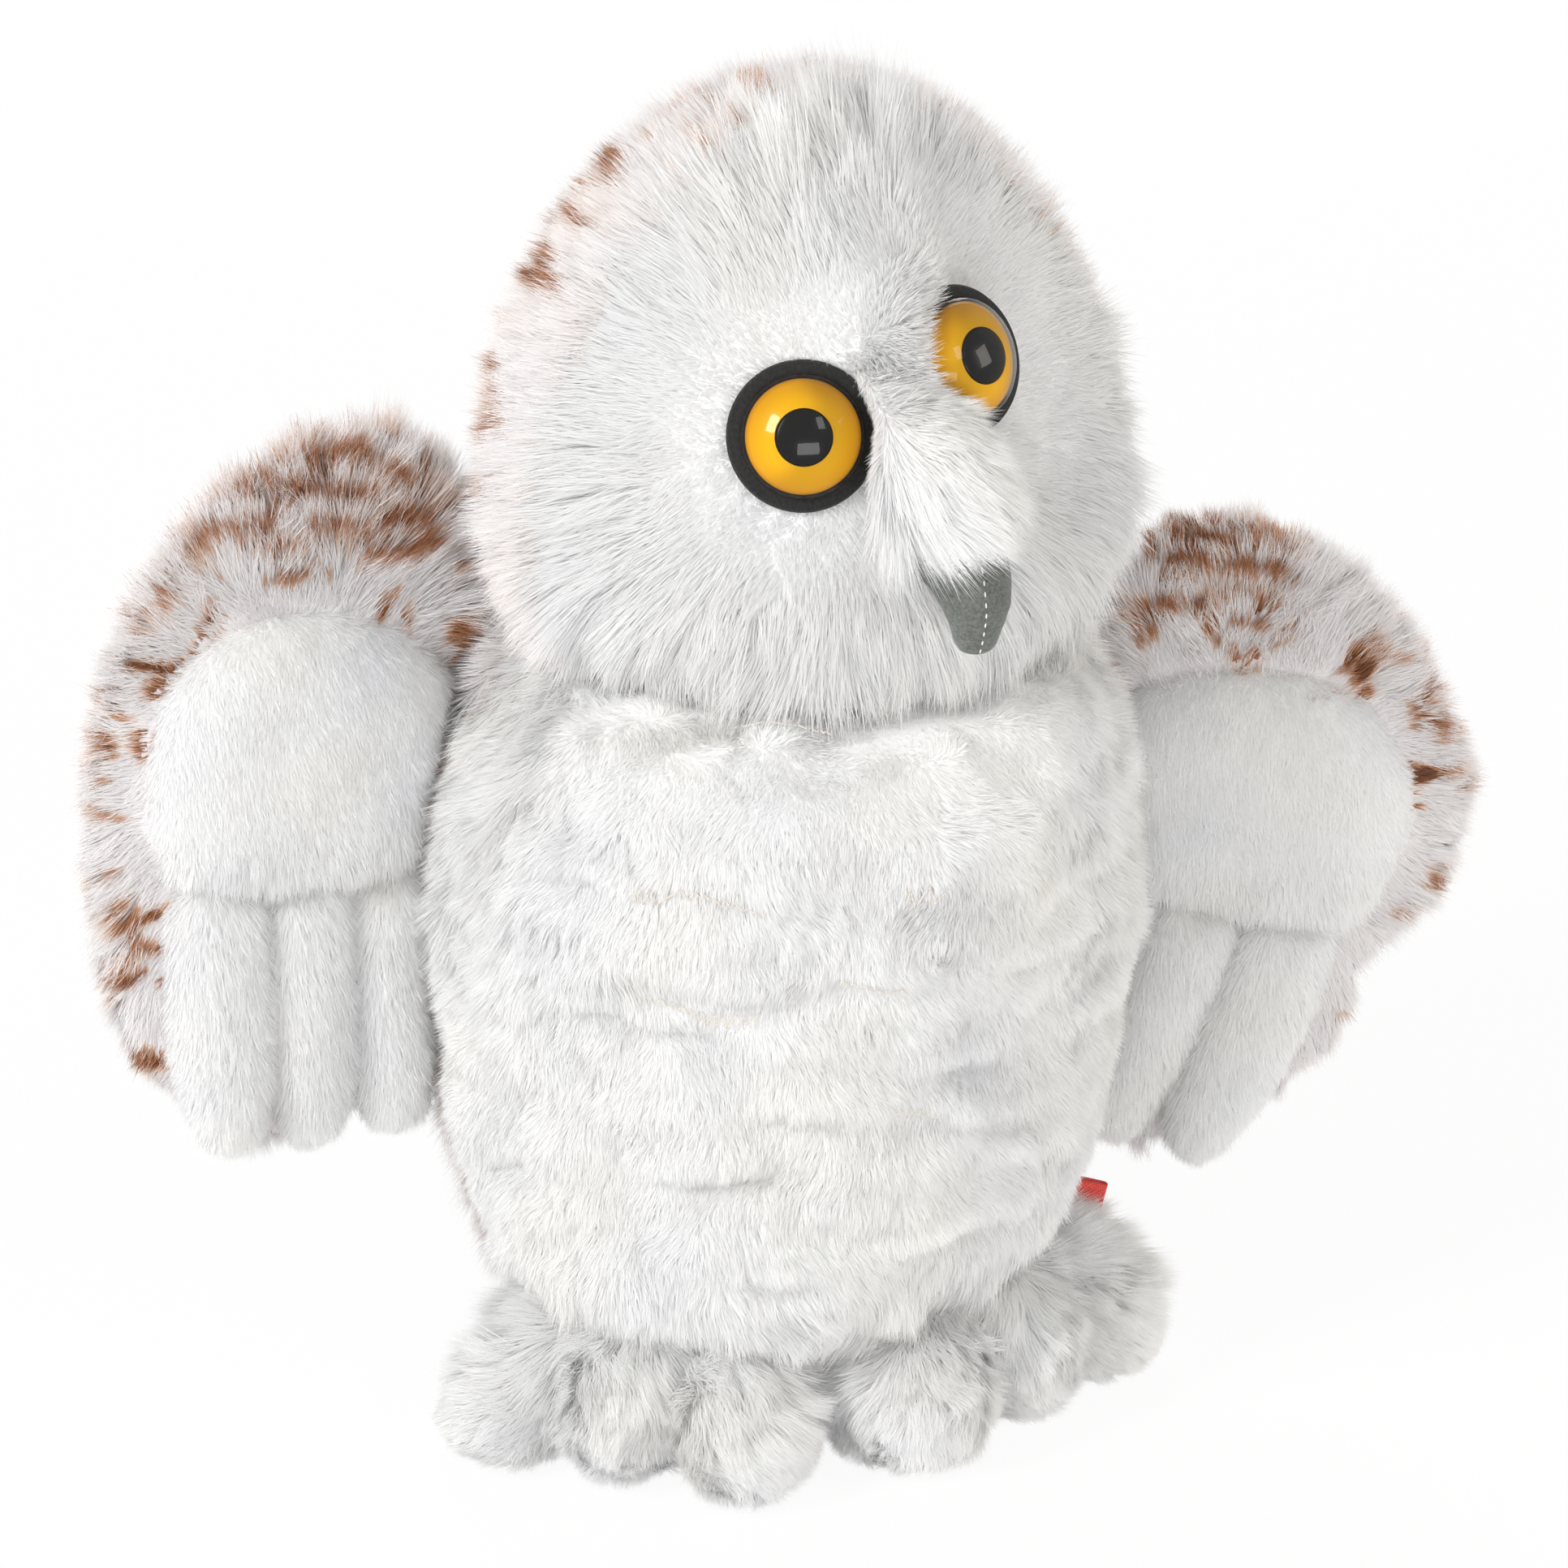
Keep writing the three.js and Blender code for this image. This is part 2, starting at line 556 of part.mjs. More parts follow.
function addFoot(side, word) {
  const foot = new THREE.Group();
  foot.name = word + "_foot";
  foot.position.set(FOOT_ASIDE + side * FOOT_APART, side * FOOT_STEP - FOOT_FORWARD, 0);
  foot.rotation.z = side * rad(FOOT_SPLAY);
  foot.updateMatrix();
  owl.add(foot);
  const toFoot = foot.matrix.clone().invert();
  const bodySpace = solid(bodyRoom.clone().applyMatrix4(toFoot));
  const ownSide = solid(halfSpace("x", FOOT_ASIDE + (side * SEAM_GAP) / 2, side).applyMatrix4(toFoot));
  const outside = common(cut(footShape(0), bodySpace), ownSide);
  const above = solid(halfSpace("z", SOLE_THICK + SEAM_GAP, 1));
  const onFloor = solid(halfSpace("z", 0, 1));
  const soleLayer = solid(halfSpace("z", SOLE_THICK, -1));
  const room = footShape(CLOTH);
  add(foot, word + "_foot_cover", common(cut(outside, room), above), WHITE_PLUSH);
  add(foot, word + "_foot_sole", common(outside, onFloor, soleLayer), WHITE_PLUSH);
  const filling = cut(footShape(CLOTH + SEAM_GAP), bodySpace);
  add(foot, word + "_foot_stuffing", common(filling, above, ownSide), FILLING);
}

// A stuffed pad: an outline in X and Z drawn in towards its middle as it swells to the front and back.
function pad(outline, middle, front, back) {
  const rings = [];
  for (let j = 1 - PAD_RINGS; j < PAD_RINGS; j++) {
    const polar = (Math.PI / 2) * (j / PAD_RINGS);
    const out = Math.cos(polar) ** PAD_FULLNESS;
    const y = Math.sin(polar) * (j < 0 ? front : back);
    rings.push(
      outline.map((p) => {
        const drawn = p.clone().sub(middle).multiplyScalar(out).add(middle);
        return new THREE.Vector3(drawn.x, y, drawn.y);
      }),
    );
  }
  const peak = (depth) => new THREE.Vector3(middle.x, depth, middle.y);
  return skin(rings, peak(-front), peak(back));
}

// A smooth closed outline through corner points given as [x, z].
function outlineThrough(points, count) {
  const curve = new THREE.CatmullRomCurve3(points.map(([x, z]) => new THREE.Vector3(x, z, 0)), true);
  return curve.getSpacedPoints(count).slice(0, count).map((p) => new THREE.Vector2(p.x, p.y));
}

// A point on the body's side seam line at a height, behind the owl's side by the wing's own angle.
function wingSeamPoint(side, z) {
  const halfWidth = bodyHalfWidth(z);
  const back = (BODY_BACK_DEPTH * halfWidth) / BODY_HALF_WIDTH;
  const turn = rad(WING_BEHIND);
  return new THREE.Vector3(side * halfWidth * Math.cos(turn), back * Math.sin(turn), z);
}

// The space that body and head take as a swinging piece sees it, over the whole of its swing.
function spaceAround(group, origin, axis, angles, shapes) {
  group.updateMatrix();
  const toLocal = group.matrix.clone().invert();
  return shapes.flatMap((shape) =>
    angles.map((angle) => {
      const swing = new THREE.Matrix4()
        .makeTranslation(origin.x, origin.y, origin.z)
        .multiply(new THREE.Matrix4().makeRotationAxis(axis, -rad(angle)))
        .multiply(new THREE.Matrix4().makeTranslation(-origin.x, -origin.y, -origin.z));
      return solid(shape.clone().applyMatrix4(toLocal.clone().multiply(swing)));
    }),
  );
}

// The wing's turns, from its furthest back to its furthest forward.
const swingSteps = [];
for (let angle = -WING_SWING_BACK; angle <= WING_SWING_FORWARD; angle += SWING_STEP) {
  swingSteps.push(angle);
}

// The head at both ends of its turn and at rest, in the owl's frame.
const headSweep = [-HEAD_SWING, 0, HEAD_SWING].map((angle) =>
  swollen(headOutside, 1)
    .rotateZ(rad(HEAD_TURN + angle))
    .translate(...head.position.toArray()),
);

// One wing in its own frame: +X times side points out from the seam, -Y is the white front.
function addWing(side, word, rise, raise, sweep, slump) {
  const wing = new THREE.Group();
  wing.name = word + "_wing";
  const low = wingSeamPoint(side, WING_SEAM_LOW - slump);
  const high = wingSeamPoint(side, WING_SEAM_HIGH - slump);
  const root = low.clone().add(high).multiplyScalar(0.5);
  wing.position.copy(root);
  wing.rotation.set(0, -side * rad(raise), side * rad(sweep), "ZYX");
  owl.add(wing);
  const axis = high.clone().sub(low).normalize().multiplyScalar(-side);
  const stops = [-WING_SWING_BACK, -WING_SWING_BACK / 2, 0, WING_SWING_FORWARD];
  const space = [
    ...spaceAround(wing, root, axis, swingSteps, [bodyRoom]),
    ...spaceAround(wing, root, axis, stops, headSweep),
  ];
  const edge = [
    [-0.12, -0.05],
    [-0.06, 0.55],
    [0.1, 0.92],
    [0.36, 1],
    [0.68, 0.8],
    [0.93, 0.32],
    [0.98, -0.25],
    [0.87, -0.65],
    [0.65, -0.91],
    [0.36, -1],
    [0.12, -0.88],
    [0.14, -0.4],
  ].map(([x, z]) => [side * x * WING_SPAN, z * (z > 0 ? rise : WING_DROP)]);
  const outline = outlineThrough(edge, WING_POINTS);
  const middle = new THREE.Vector2(side * WING_SPAN * 0.5, -WING_DROP * 0.12);
  const covertEdge = [
    [-1, 0.25],
    [-0.25, 0.98],
    [0.55, 0.95],
    [1, 0.2],
    [0.82, -0.85],
    [0, -1],
    [-0.72, -0.92],
  ].map(([x, z]) => [side * (COVERT_OUT + x * COVERT_HALF_WIDTH), z * COVERT_HALF_TALL]);
  const covertMiddle = new THREE.Vector2(side * COVERT_OUT, 0);
  const covertPad = pad(outlineThrough(covertEdge, 16), covertMiddle, COVERT_FRONT, COVERT_BACK);
  covertPad.translate(0, -PAD_FORWARD, 0);
  const covertSpace = solid(swollen(covertPad, SEAM_GAP));
  const feathers = [0, 1, 2].map((n) => {
    const half = FEATHER_LENGTH / 2;
    const width = FEATHER_HALF_WIDTH;
    const shape = [
      [-width * 0.85, half],
      [width * 0.85, half],
      [width, -half * 0.5],
      [0, -half],
      [-width, -half * 0.5],
    ];
    const drop = COVERT_HALF_TALL * 0.9 + half - FEATHER_HALF_WIDTH;
    return pad(outlineThrough(shape, 10), new THREE.Vector2(), FEATHER_FRONT, FEATHER_BACK)
      .rotateY(side * rad(FEATHER_LEAN))
      .translate(side * (FEATHER_FIRST_OUT + n * FEATHER_PITCH), -PAD_FORWARD, -drop);
  });
  const fill = (room) => {
    const share = FILL_INSET + (2 * room) / WING_SPAN;
    const inner = outline.map((p) => p.clone().sub(middle).multiplyScalar(share).add(middle));
    const half = FILL_THICK / 2;
    return solid(pad(inner, middle, half + room, half + room).translate(0, half - FILL_FORWARD, 0));
  };
  const spaces = [covertSpace, ...feathers.map((f) => solid(swollen(f, SEAM_GAP)))];
  const backShape = cut(solid(pad(outline, middle, WING_FRONT, WING_BACK)), ...spaces);
  add(wing, word + "_wing_back", cut(backShape, fill(SEAM_GAP), ...space), PRINTED_PLUSH);
  add(wing, word + "_wing_covert", cut(solid(covertPad), ...space), WHITE_PLUSH);
  feathers.forEach((feather, n) => {
    const before = feathers.slice(0, n).map((f) => solid(swollen(f, SEAM_GAP)));
    const shape = cut(solid(feather), covertSpace, ...before, ...space);
    add(wing, word + "_wing_feather_" + (n + 1), shape, WHITE_PLUSH);
  });
  add(wing, word + "_wing_stuffing", cut(fill(0), ...spaces, ...space), FILLING);
}

// A short stuffed tail, hinged on the seam where it leaves the back.
function addTail() {
  const tail = new THREE.Group();
  tail.name = "tail";
  const back = (BODY_BACK_DEPTH * bodyHalfWidth(TAIL_RISE)) / BODY_HALF_WIDTH;
  const root = new THREE.Vector3(0, back, TAIL_RISE);
  tail.position.copy(root);
  tail.rotation.set(rad(90 - TAIL_SLOPE), 0, 0);
  owl.add(tail);
  const axis = new THREE.Vector3(1, 0, 0);
  const steps = [-TAIL_LIFT_DOWN, 0, TAIL_LIFT_UP / 2, TAIL_LIFT_UP];
  const space = spaceAround(tail, root, axis, steps, [bodyRoom]);
  const edge = [
    [-0.7, 0.25],
    [0.7, 0.25],
    [1, -0.55],
    [0.6, -0.95],
    [-0.6, -0.95],
    [-1, -0.55],
  ].map(([x, z]) => [x * TAIL_HALF_WIDTH, z * TAIL_LENGTH]);
  const outline = outlineThrough(edge, 18);
  const middle = new THREE.Vector2(0, -TAIL_LENGTH * 0.4);
  const half = TAIL_THICK / 2;
  const drawnIn = (inset) => {
    const share = 1 - inset / TAIL_HALF_WIDTH;
    const inner = outline.map((p) => p.clone().sub(middle).multiplyScalar(share).add(middle));
    return solid(pad(inner, middle, half - inset, half - inset));
  };
  const panels = cut(drawnIn(0), drawnIn(TAIL_PANEL), ...space);
  add(tail, "tail_top_panel", common(panels, solid(halfSpace("y", SEAM_GAP / 2, 1))), PRINTED_PLUSH);
  add(tail, "tail_under_panel", common(panels, solid(halfSpace("y", -SEAM_GAP / 2, -1))), WHITE_PLUSH);
  add(tail, "tail_stuffing", cut(drawnIn(TAIL_PANEL + SEAM_GAP), ...space), FILLING);
}

// A folded ribbon tab over a flat care label, caught in the left side seam.
function addLabels() {
  const labels = new THREE.Group();
  labels.name = "labels";
  const x = bodyHalfWidth(LABEL_RISE);
  labels.position.set(x, 0, LABEL_RISE);
  owl.add(labels);
  const bodySpace = solid(bodyRoom.clone().translate(-x, 0, -LABEL_RISE));
  const half = LABEL_FOLD / 2 + LABEL_SHEET;
  const fold = new THREE.Shape();
  fold.moveTo(-CLOTH, -half);
  fold.lineTo(LABEL_OUT - half, -half);
  fold.absarc(LABEL_OUT - half, 0, half, -Math.PI / 2, Math.PI / 2, false);
  fold.lineTo(-CLOTH, half);
  fold.lineTo(-CLOTH, LABEL_FOLD / 2);
  fold.lineTo(LABEL_OUT - half, LABEL_FOLD / 2);
  fold.absarc(LABEL_OUT - half, 0, LABEL_FOLD / 2, Math.PI / 2, -Math.PI / 2, true);
  fold.lineTo(-CLOTH, -LABEL_FOLD / 2);
  const ribbon = new THREE.ExtrudeGeometry(fold, {
    depth: LABEL_TALL,
    bevelEnabled: false,
    curveSegments: 4,
  });
  add(labels, "label_tab", cut(solid(mergeVertices(ribbon)), bodySpace), RED_RIBBON);
  const care = new THREE.BoxGeometry(CARE_OUT + CLOTH, LABEL_SHEET, CARE_TALL);
  care.translate((CARE_OUT - CLOTH) / 2, half + SEAM_GAP + LABEL_SHEET / 2, LABEL_TALL - CARE_TALL / 2);
  add(labels, "care_label", cut(solid(care), bodySpace), CARE_CLOTH);
}

addBody();
addHead();
addEye(-1, "right");
addEye(1, "left");
addBeak();
addFoot(-1, "right");
addFoot(1, "left");
addWing(-1, "right", RIGHT_WING_RISE, RIGHT_WING_RAISE, RIGHT_WING_SWEEP, 0);
addWing(1, "left", LEFT_WING_RISE, LEFT_WING_RAISE, LEFT_WING_SWEEP, LEFT_WING_SLUMP);
addTail();
addLabels();

// The owl stands with the middle of its own box over the origin.
const part = new THREE.Group();
part.name = "plush_owl_part";
part.add(owl);
const box = new THREE.Box3().setFromObject(owl, true);
owl.position.set(-(box.min.x + box.max.x) / 2, -(box.min.y + box.max.y) / 2, -box.min.z);

export default part;
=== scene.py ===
import math

import bmesh
import bpy
import numpy as np
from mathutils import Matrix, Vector
from mathutils.bvhtree import BVHTree
from mathutils.kdtree import KDTree


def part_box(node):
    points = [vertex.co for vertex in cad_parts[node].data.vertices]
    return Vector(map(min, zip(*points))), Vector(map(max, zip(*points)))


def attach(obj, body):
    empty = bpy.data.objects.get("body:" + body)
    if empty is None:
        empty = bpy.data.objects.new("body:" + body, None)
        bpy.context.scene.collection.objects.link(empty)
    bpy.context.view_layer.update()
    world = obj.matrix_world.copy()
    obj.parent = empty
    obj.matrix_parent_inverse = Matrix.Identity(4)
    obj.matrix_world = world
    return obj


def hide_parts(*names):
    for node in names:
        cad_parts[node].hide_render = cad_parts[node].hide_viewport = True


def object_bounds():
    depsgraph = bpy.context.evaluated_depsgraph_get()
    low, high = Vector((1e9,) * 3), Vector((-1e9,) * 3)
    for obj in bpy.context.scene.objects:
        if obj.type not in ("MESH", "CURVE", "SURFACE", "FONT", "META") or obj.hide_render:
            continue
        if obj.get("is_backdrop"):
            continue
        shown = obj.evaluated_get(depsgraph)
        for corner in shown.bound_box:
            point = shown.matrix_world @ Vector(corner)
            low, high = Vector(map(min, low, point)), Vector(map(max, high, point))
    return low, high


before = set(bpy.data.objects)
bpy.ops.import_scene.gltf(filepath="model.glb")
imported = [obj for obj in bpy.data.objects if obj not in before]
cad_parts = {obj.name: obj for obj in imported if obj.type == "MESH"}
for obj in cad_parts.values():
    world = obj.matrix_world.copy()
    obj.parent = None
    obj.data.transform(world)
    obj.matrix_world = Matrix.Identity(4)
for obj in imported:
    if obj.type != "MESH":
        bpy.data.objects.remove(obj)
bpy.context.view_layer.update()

# Camera: the owl is seen from its own right side and from above, through a long lens,
# so that its feet, wings and crown keep nearly the same scale.
VIEW_TURN, VIEW_RISE = -14, 25
STAND_OFF = 1.6
LENS = 180.7
scene = bpy.context.scene
aim = Vector((0.0016, -0.0026, 0.136))


def placed(name, data):
    """A mesh, a lamp or a camera put in the scene."""
    piece = bpy.data.objects.new(name, data)
    scene.collection.objects.link(piece)
    return piece


def aimed(piece, turn, rise, far):
    """Sets a camera or a lamp round the owl, by its angles in degrees, looking at it."""
    turn, rise = math.radians(turn), math.radians(rise)
    way = Vector((math.sin(turn) * math.cos(rise), -math.cos(turn) * math.cos(rise), math.sin(rise)))
    piece.location = aim + way * far
    piece.rotation_mode = "QUATERNION"
    piece.rotation_quaternion = (-way).to_track_quat("-Z", "Y")


camera = placed("camera", bpy.data.cameras.new("camera"))
camera.data.lens = LENS
scene.camera = camera
aimed(camera, VIEW_TURN, VIEW_RISE, STAND_OFF)

# Body: a sack of white and printed plush over a stuffing and a pellet pouch, sewn up
# the sides. The belly cloth is gathered in wavy rows, held by short zigzag stitches.
BODY_GRID = 0.004
BODY_INSET = 0.0015
BELLY_PILE = 0.0055
BACK_PILE = 0.010
CHEST_FILL = 0.016
LEG_FILL = 0.004
CHEST_RISE, NECK_END = (0.098, 0.168), (0.177, 0.171)
LEG_RISE, LEG_SIDE = (0.075, 0.040), (0.01, -0.04)
BODY_SWELL = 0.003
TUCK_BULGE, BULGE_OFF, BULGE_WIDE = 0.0016, 0.005, 0.004
TUCK_GROOVE, GROOVE_WIDE = 0.0019, 0.0028
RIM_RISE, RIM_PILE = (0.056, 0.036), 0.010
SIDE_PILE = 0.0055
LABEL_CLEAR = (0.006, 0.028)
STITCH_STEP, STITCH_SWING, STITCH_RISE = 0.0011, 0.0009, 0.0021
BELLY_THREAD = 0.00042
MM = 0.001
SIM_FRAMES = 20


def read_points(mesh, normals=False):
    """Vertex places, or normals, as an array."""
    found = np.zeros(len(mesh.vertices) * 3, np.float32)
    if normals:
        mesh.vertex_normals.foreach_get("vector", found)
    else:
        mesh.vertices.foreach_get("co", found)
    return found.reshape(-1, 3).astype(float)


def write_points(mesh, points):
    mesh.vertices.foreach_set("co", points.astype(np.float32).ravel())
    mesh.update()


def skin(piece):
    """The places and the normals of a cloth's points."""
    return read_points(piece.data), read_points(piece.data, True)


def finished(piece):
    """The piece with its modifiers turned into plain mesh."""
    bpy.context.view_layer.update()
    graph = bpy.context.evaluated_depsgraph_get()
    mesh = bpy.data.meshes.new_from_object(piece.evaluated_get(graph))
    piece.modifiers.clear()
    old = piece.data
    piece.data = mesh
    bpy.data.meshes.remove(old)
    return piece


def outer_shell(mesh):
    """Drops every loose shell but the largest, such as one left round an inner gap."""
    work = bmesh.new()
    work.from_mesh(mesh)
    left = set(work.verts)
    shells = []
    while left:
        first = left.pop()
        shell, open_ends = {first}, [first]
        while open_ends:
            vert = open_ends.pop()
            for edge in vert.link_edges:
                other = edge.other_vert(vert)
                if other in left:
                    left.remove(other)
                    shell.add(other)
                    open_ends.append(other)
        shells.append(shell)
    shells.sort(key=len)
    for shell in shells[:-1]:
        bmesh.ops.delete(work, geom=list(shell), context="VERTS")
    work.to_mesh(mesh)
    work.free()


def relaxed(mesh, times, share=0.5):
    """Evens out a mesh by moving each point towards the middle of its neighbours."""
    points = read_points(mesh)
    edges = np.zeros(len(mesh.edges) * 2, np.int32)
    mesh.edges.foreach_get("vertices", edges)
    edges = edges.reshape(-1, 2)
    count = np.maximum(np.bincount(edges.ravel(), minlength=len(points)), 1)[:, None]
    for _ in range(times):
        total = np.zeros_like(points)
        np.add.at(total, edges[:, 0], points[edges[:, 1]])
        np.add.at(total, edges[:, 1], points[edges[:, 0]])
        points += share * (total / count - points)
    write_points(mesh, points)


def sewn_form(name, nodes, grid, smooth=3):
    """One closed outer form round the CAD solids of a stuffed piece."""
    work = bmesh.new()
    for part in nodes:
        work.from_mesh(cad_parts[part].data)
    bmesh.ops.remove_doubles(work, verts=work.verts, dist=1e-6)
    mesh = bpy.data.meshes.new(name)
    work.to_mesh(mesh)
    work.free()
    piece = placed(name, mesh)
    weave = piece.modifiers.new("weave", "REMESH")
    weave.mode = "VOXEL"
    weave.voxel_size = grid
    finished(piece)
    outer_shell(piece.data)
    relaxed(piece.data, smooth)
    piece.data.shade_smooth()
    return piece


def moved_in(piece, depth):
    """Moves the cloth inwards, by one depth or by one for each point."""
    points, normals = skin(piece)
    write_points(piece.data, points - normals * np.reshape(depth, (-1, 1)))


def plumped(piece, cap, pressure=4.0):
    """Stuffs the cloth: it swells under pressure, and no point moves further than cap."""
    rest = read_points(piece.data)
    cloth = piece.modifiers.new("stuffing", "CLOTH")
    cloth.settings.use_pressure = True
    cloth.settings.uniform_pressure_force = pressure
    cloth.settings.effector_weights.gravity = 0
    cloth.settings.quality = 4
    for step in range(1, SIM_FRAMES + 1):
        scene.frame_set(step)
    swollen = piece.evaluated_get(bpy.context.evaluated_depsgraph_get())
    change = read_points(swollen.data) - rest
    piece.modifiers.clear()
    scene.frame_set(1)
    far = np.linalg.norm(change, axis=1, keepdims=True)
    write_points(piece.data, rest + change * np.minimum(1, cap / np.maximum(far, 1e-9)))


def subdivided(piece, levels):
    finer = piece.modifiers.new("finer", "SUBSURF")
    finer.levels = finer.render_levels = levels
    finished(piece)
    piece.data.shade_smooth()


def stuffed(name, nodes, grid, inset, swell):
    """A stuffed cloth round its CAD solids, drawn in, swelled and then made finer."""
    piece = sewn_form(name, nodes, grid)
    moved_in(piece, inset)
    plumped(piece, swell)
    subdivided(piece, 1)
    return piece


def eased(low, high, value):
    """0 below low and 1 above high, with a soft rise between them."""
    share = np.clip((value - low) / (high - low), 0, 1)
    return share * share * (3 - 2 * share)


def unit(vectors):
    return vectors / np.maximum(np.linalg.norm(vectors, axis=-1, keepdims=True), 1e-9)


def along_cloth(vectors, normals):
    """The part of each vector that lies along the cloth."""
    vectors = np.broadcast_to(vectors, normals.shape)
    return vectors - (vectors * normals).sum(1, keepdims=True) * normals


def ripple(points, size, seed):
    """A smooth uneven wave through space, from about -1 to 1."""
    draw = np.random.default_rng(seed)
    total = np.zeros(len(points))
    for _ in range(7):
        heading = unit(draw.normal(size=3))
        phase = points @ heading * (2 * math.pi / size) * draw.uniform(0.6, 1.5)
        total += np.sin(phase + draw.uniform(0, 2 * math.pi))
    return total / 3.5


def swirl(points, size, seed):
    """An uneven vector for each point, for pile that was brushed every way."""
    return np.stack([ripple(points, size, seed + k) for k in range(3)], axis=1)


def near_line(points, normals, line):
    """How far each point is from a line, along the cloth, and how far above it."""
    best, above = np.full(len(points), 1e9), np.zeros(len(points))
    line = np.array(line, float) * MM
    for start, end in zip(line[:-1], line[1:]):
        run = end - start
        share = np.clip(((points - start) @ run) / (run @ run), 0, 1)
        off = points - start - share[:, None] * run
        lifted = np.abs((off * normals).sum(1)) > 0.009
        far = np.linalg.norm(along_cloth(off, normals), axis=1) + lifted
        closer = far < best
        best[closer] = far[closer]
        above[closer] = off[closer, 2]
    return best, above


def printed(points, normals, marks):
    """How dark the print is at each point, from strokes of a half-width and a depth."""
    dark = np.zeros(len(points))
    ragged = 1 + 0.28 * ripple(points, 0.006, 11) + 0.18 * ripple(points, 0.003, 12)
    for half_width, depth, *line in marks:
        ends = np.array(line, float) * MM
        room = 0.009 + 2 * half_width * MM
        near = ((points > ends.min(0) - room) & (points < ends.max(0) + room)).all(1)
        far = near_line(points[near], normals[near], line)[0] / (half_width * MM) * ragged[near]
        dark[near] = np.maximum(dark[near], min(1, depth * 1.25) * (1 - eased(0.75, 1.2, far)))
    return dark


def scattered(points, normals, where, seed, apart, length, half_width):
    """Strokes spread over a cloth, lying across its length, no two nearer than apart."""
    draw = np.random.default_rng(seed)
    chosen, marks = np.zeros((0, 3)), []
    for i in draw.permutation(np.flatnonzero(where)):
        here = points[i]
        if len(chosen) and np.linalg.norm(chosen - here, axis=1).min() < apart:
            continue
        chosen = np.vstack([chosen, here])
        across = unit(np.cross(normals[i], (0, 0, 1.0)) + draw.normal(size=3) * 0.2)
        half = across * length * draw.uniform(0.35, 0.65)
        line = [tuple((here + half * t) / MM) for t in (-1, 1)]
        marks.append((half_width * draw.uniform(0.7, 1.3) / MM, draw.uniform(0.55, 0.95), *line))
    return marks


def give(mesh, **values):
    """Writes a value or a vector for each point, under its own name."""
    for name, value in values.items():
        kind = "FLOAT_VECTOR" if np.ndim(value) == 2 else "FLOAT"
        made = mesh.attributes.get(name) or mesh.attributes.new(name, kind, "POINT")
        flat = np.ascontiguousarray(value, np.float32).ravel()
        made.data.foreach_set("vector" if kind == "FLOAT_VECTOR" else "value", flat)


def node(tree, kind, *wired, **settings):
    """Adds a node, sets its options, and wires or sets its shown inputs in order."""
    made = tree.nodes.new(kind)
    for name, value in settings.items():
        setattr(made, name, value)
    for socket, value in zip([s for s in made.inputs if s.enabled], wired):
        if isinstance(value, bpy.types.NodeSocket):
            tree.links.new(value, socket)
        elif value is not None:
            socket.default_value = value
    return made


def out(made, name=None):
    """A node's first shown output, or the one with that name."""
    return next(s for s in made.outputs if s.enabled and name in (None, s.name))


MAP_SPAN, MAP_EDGE = 0.96, 0.02


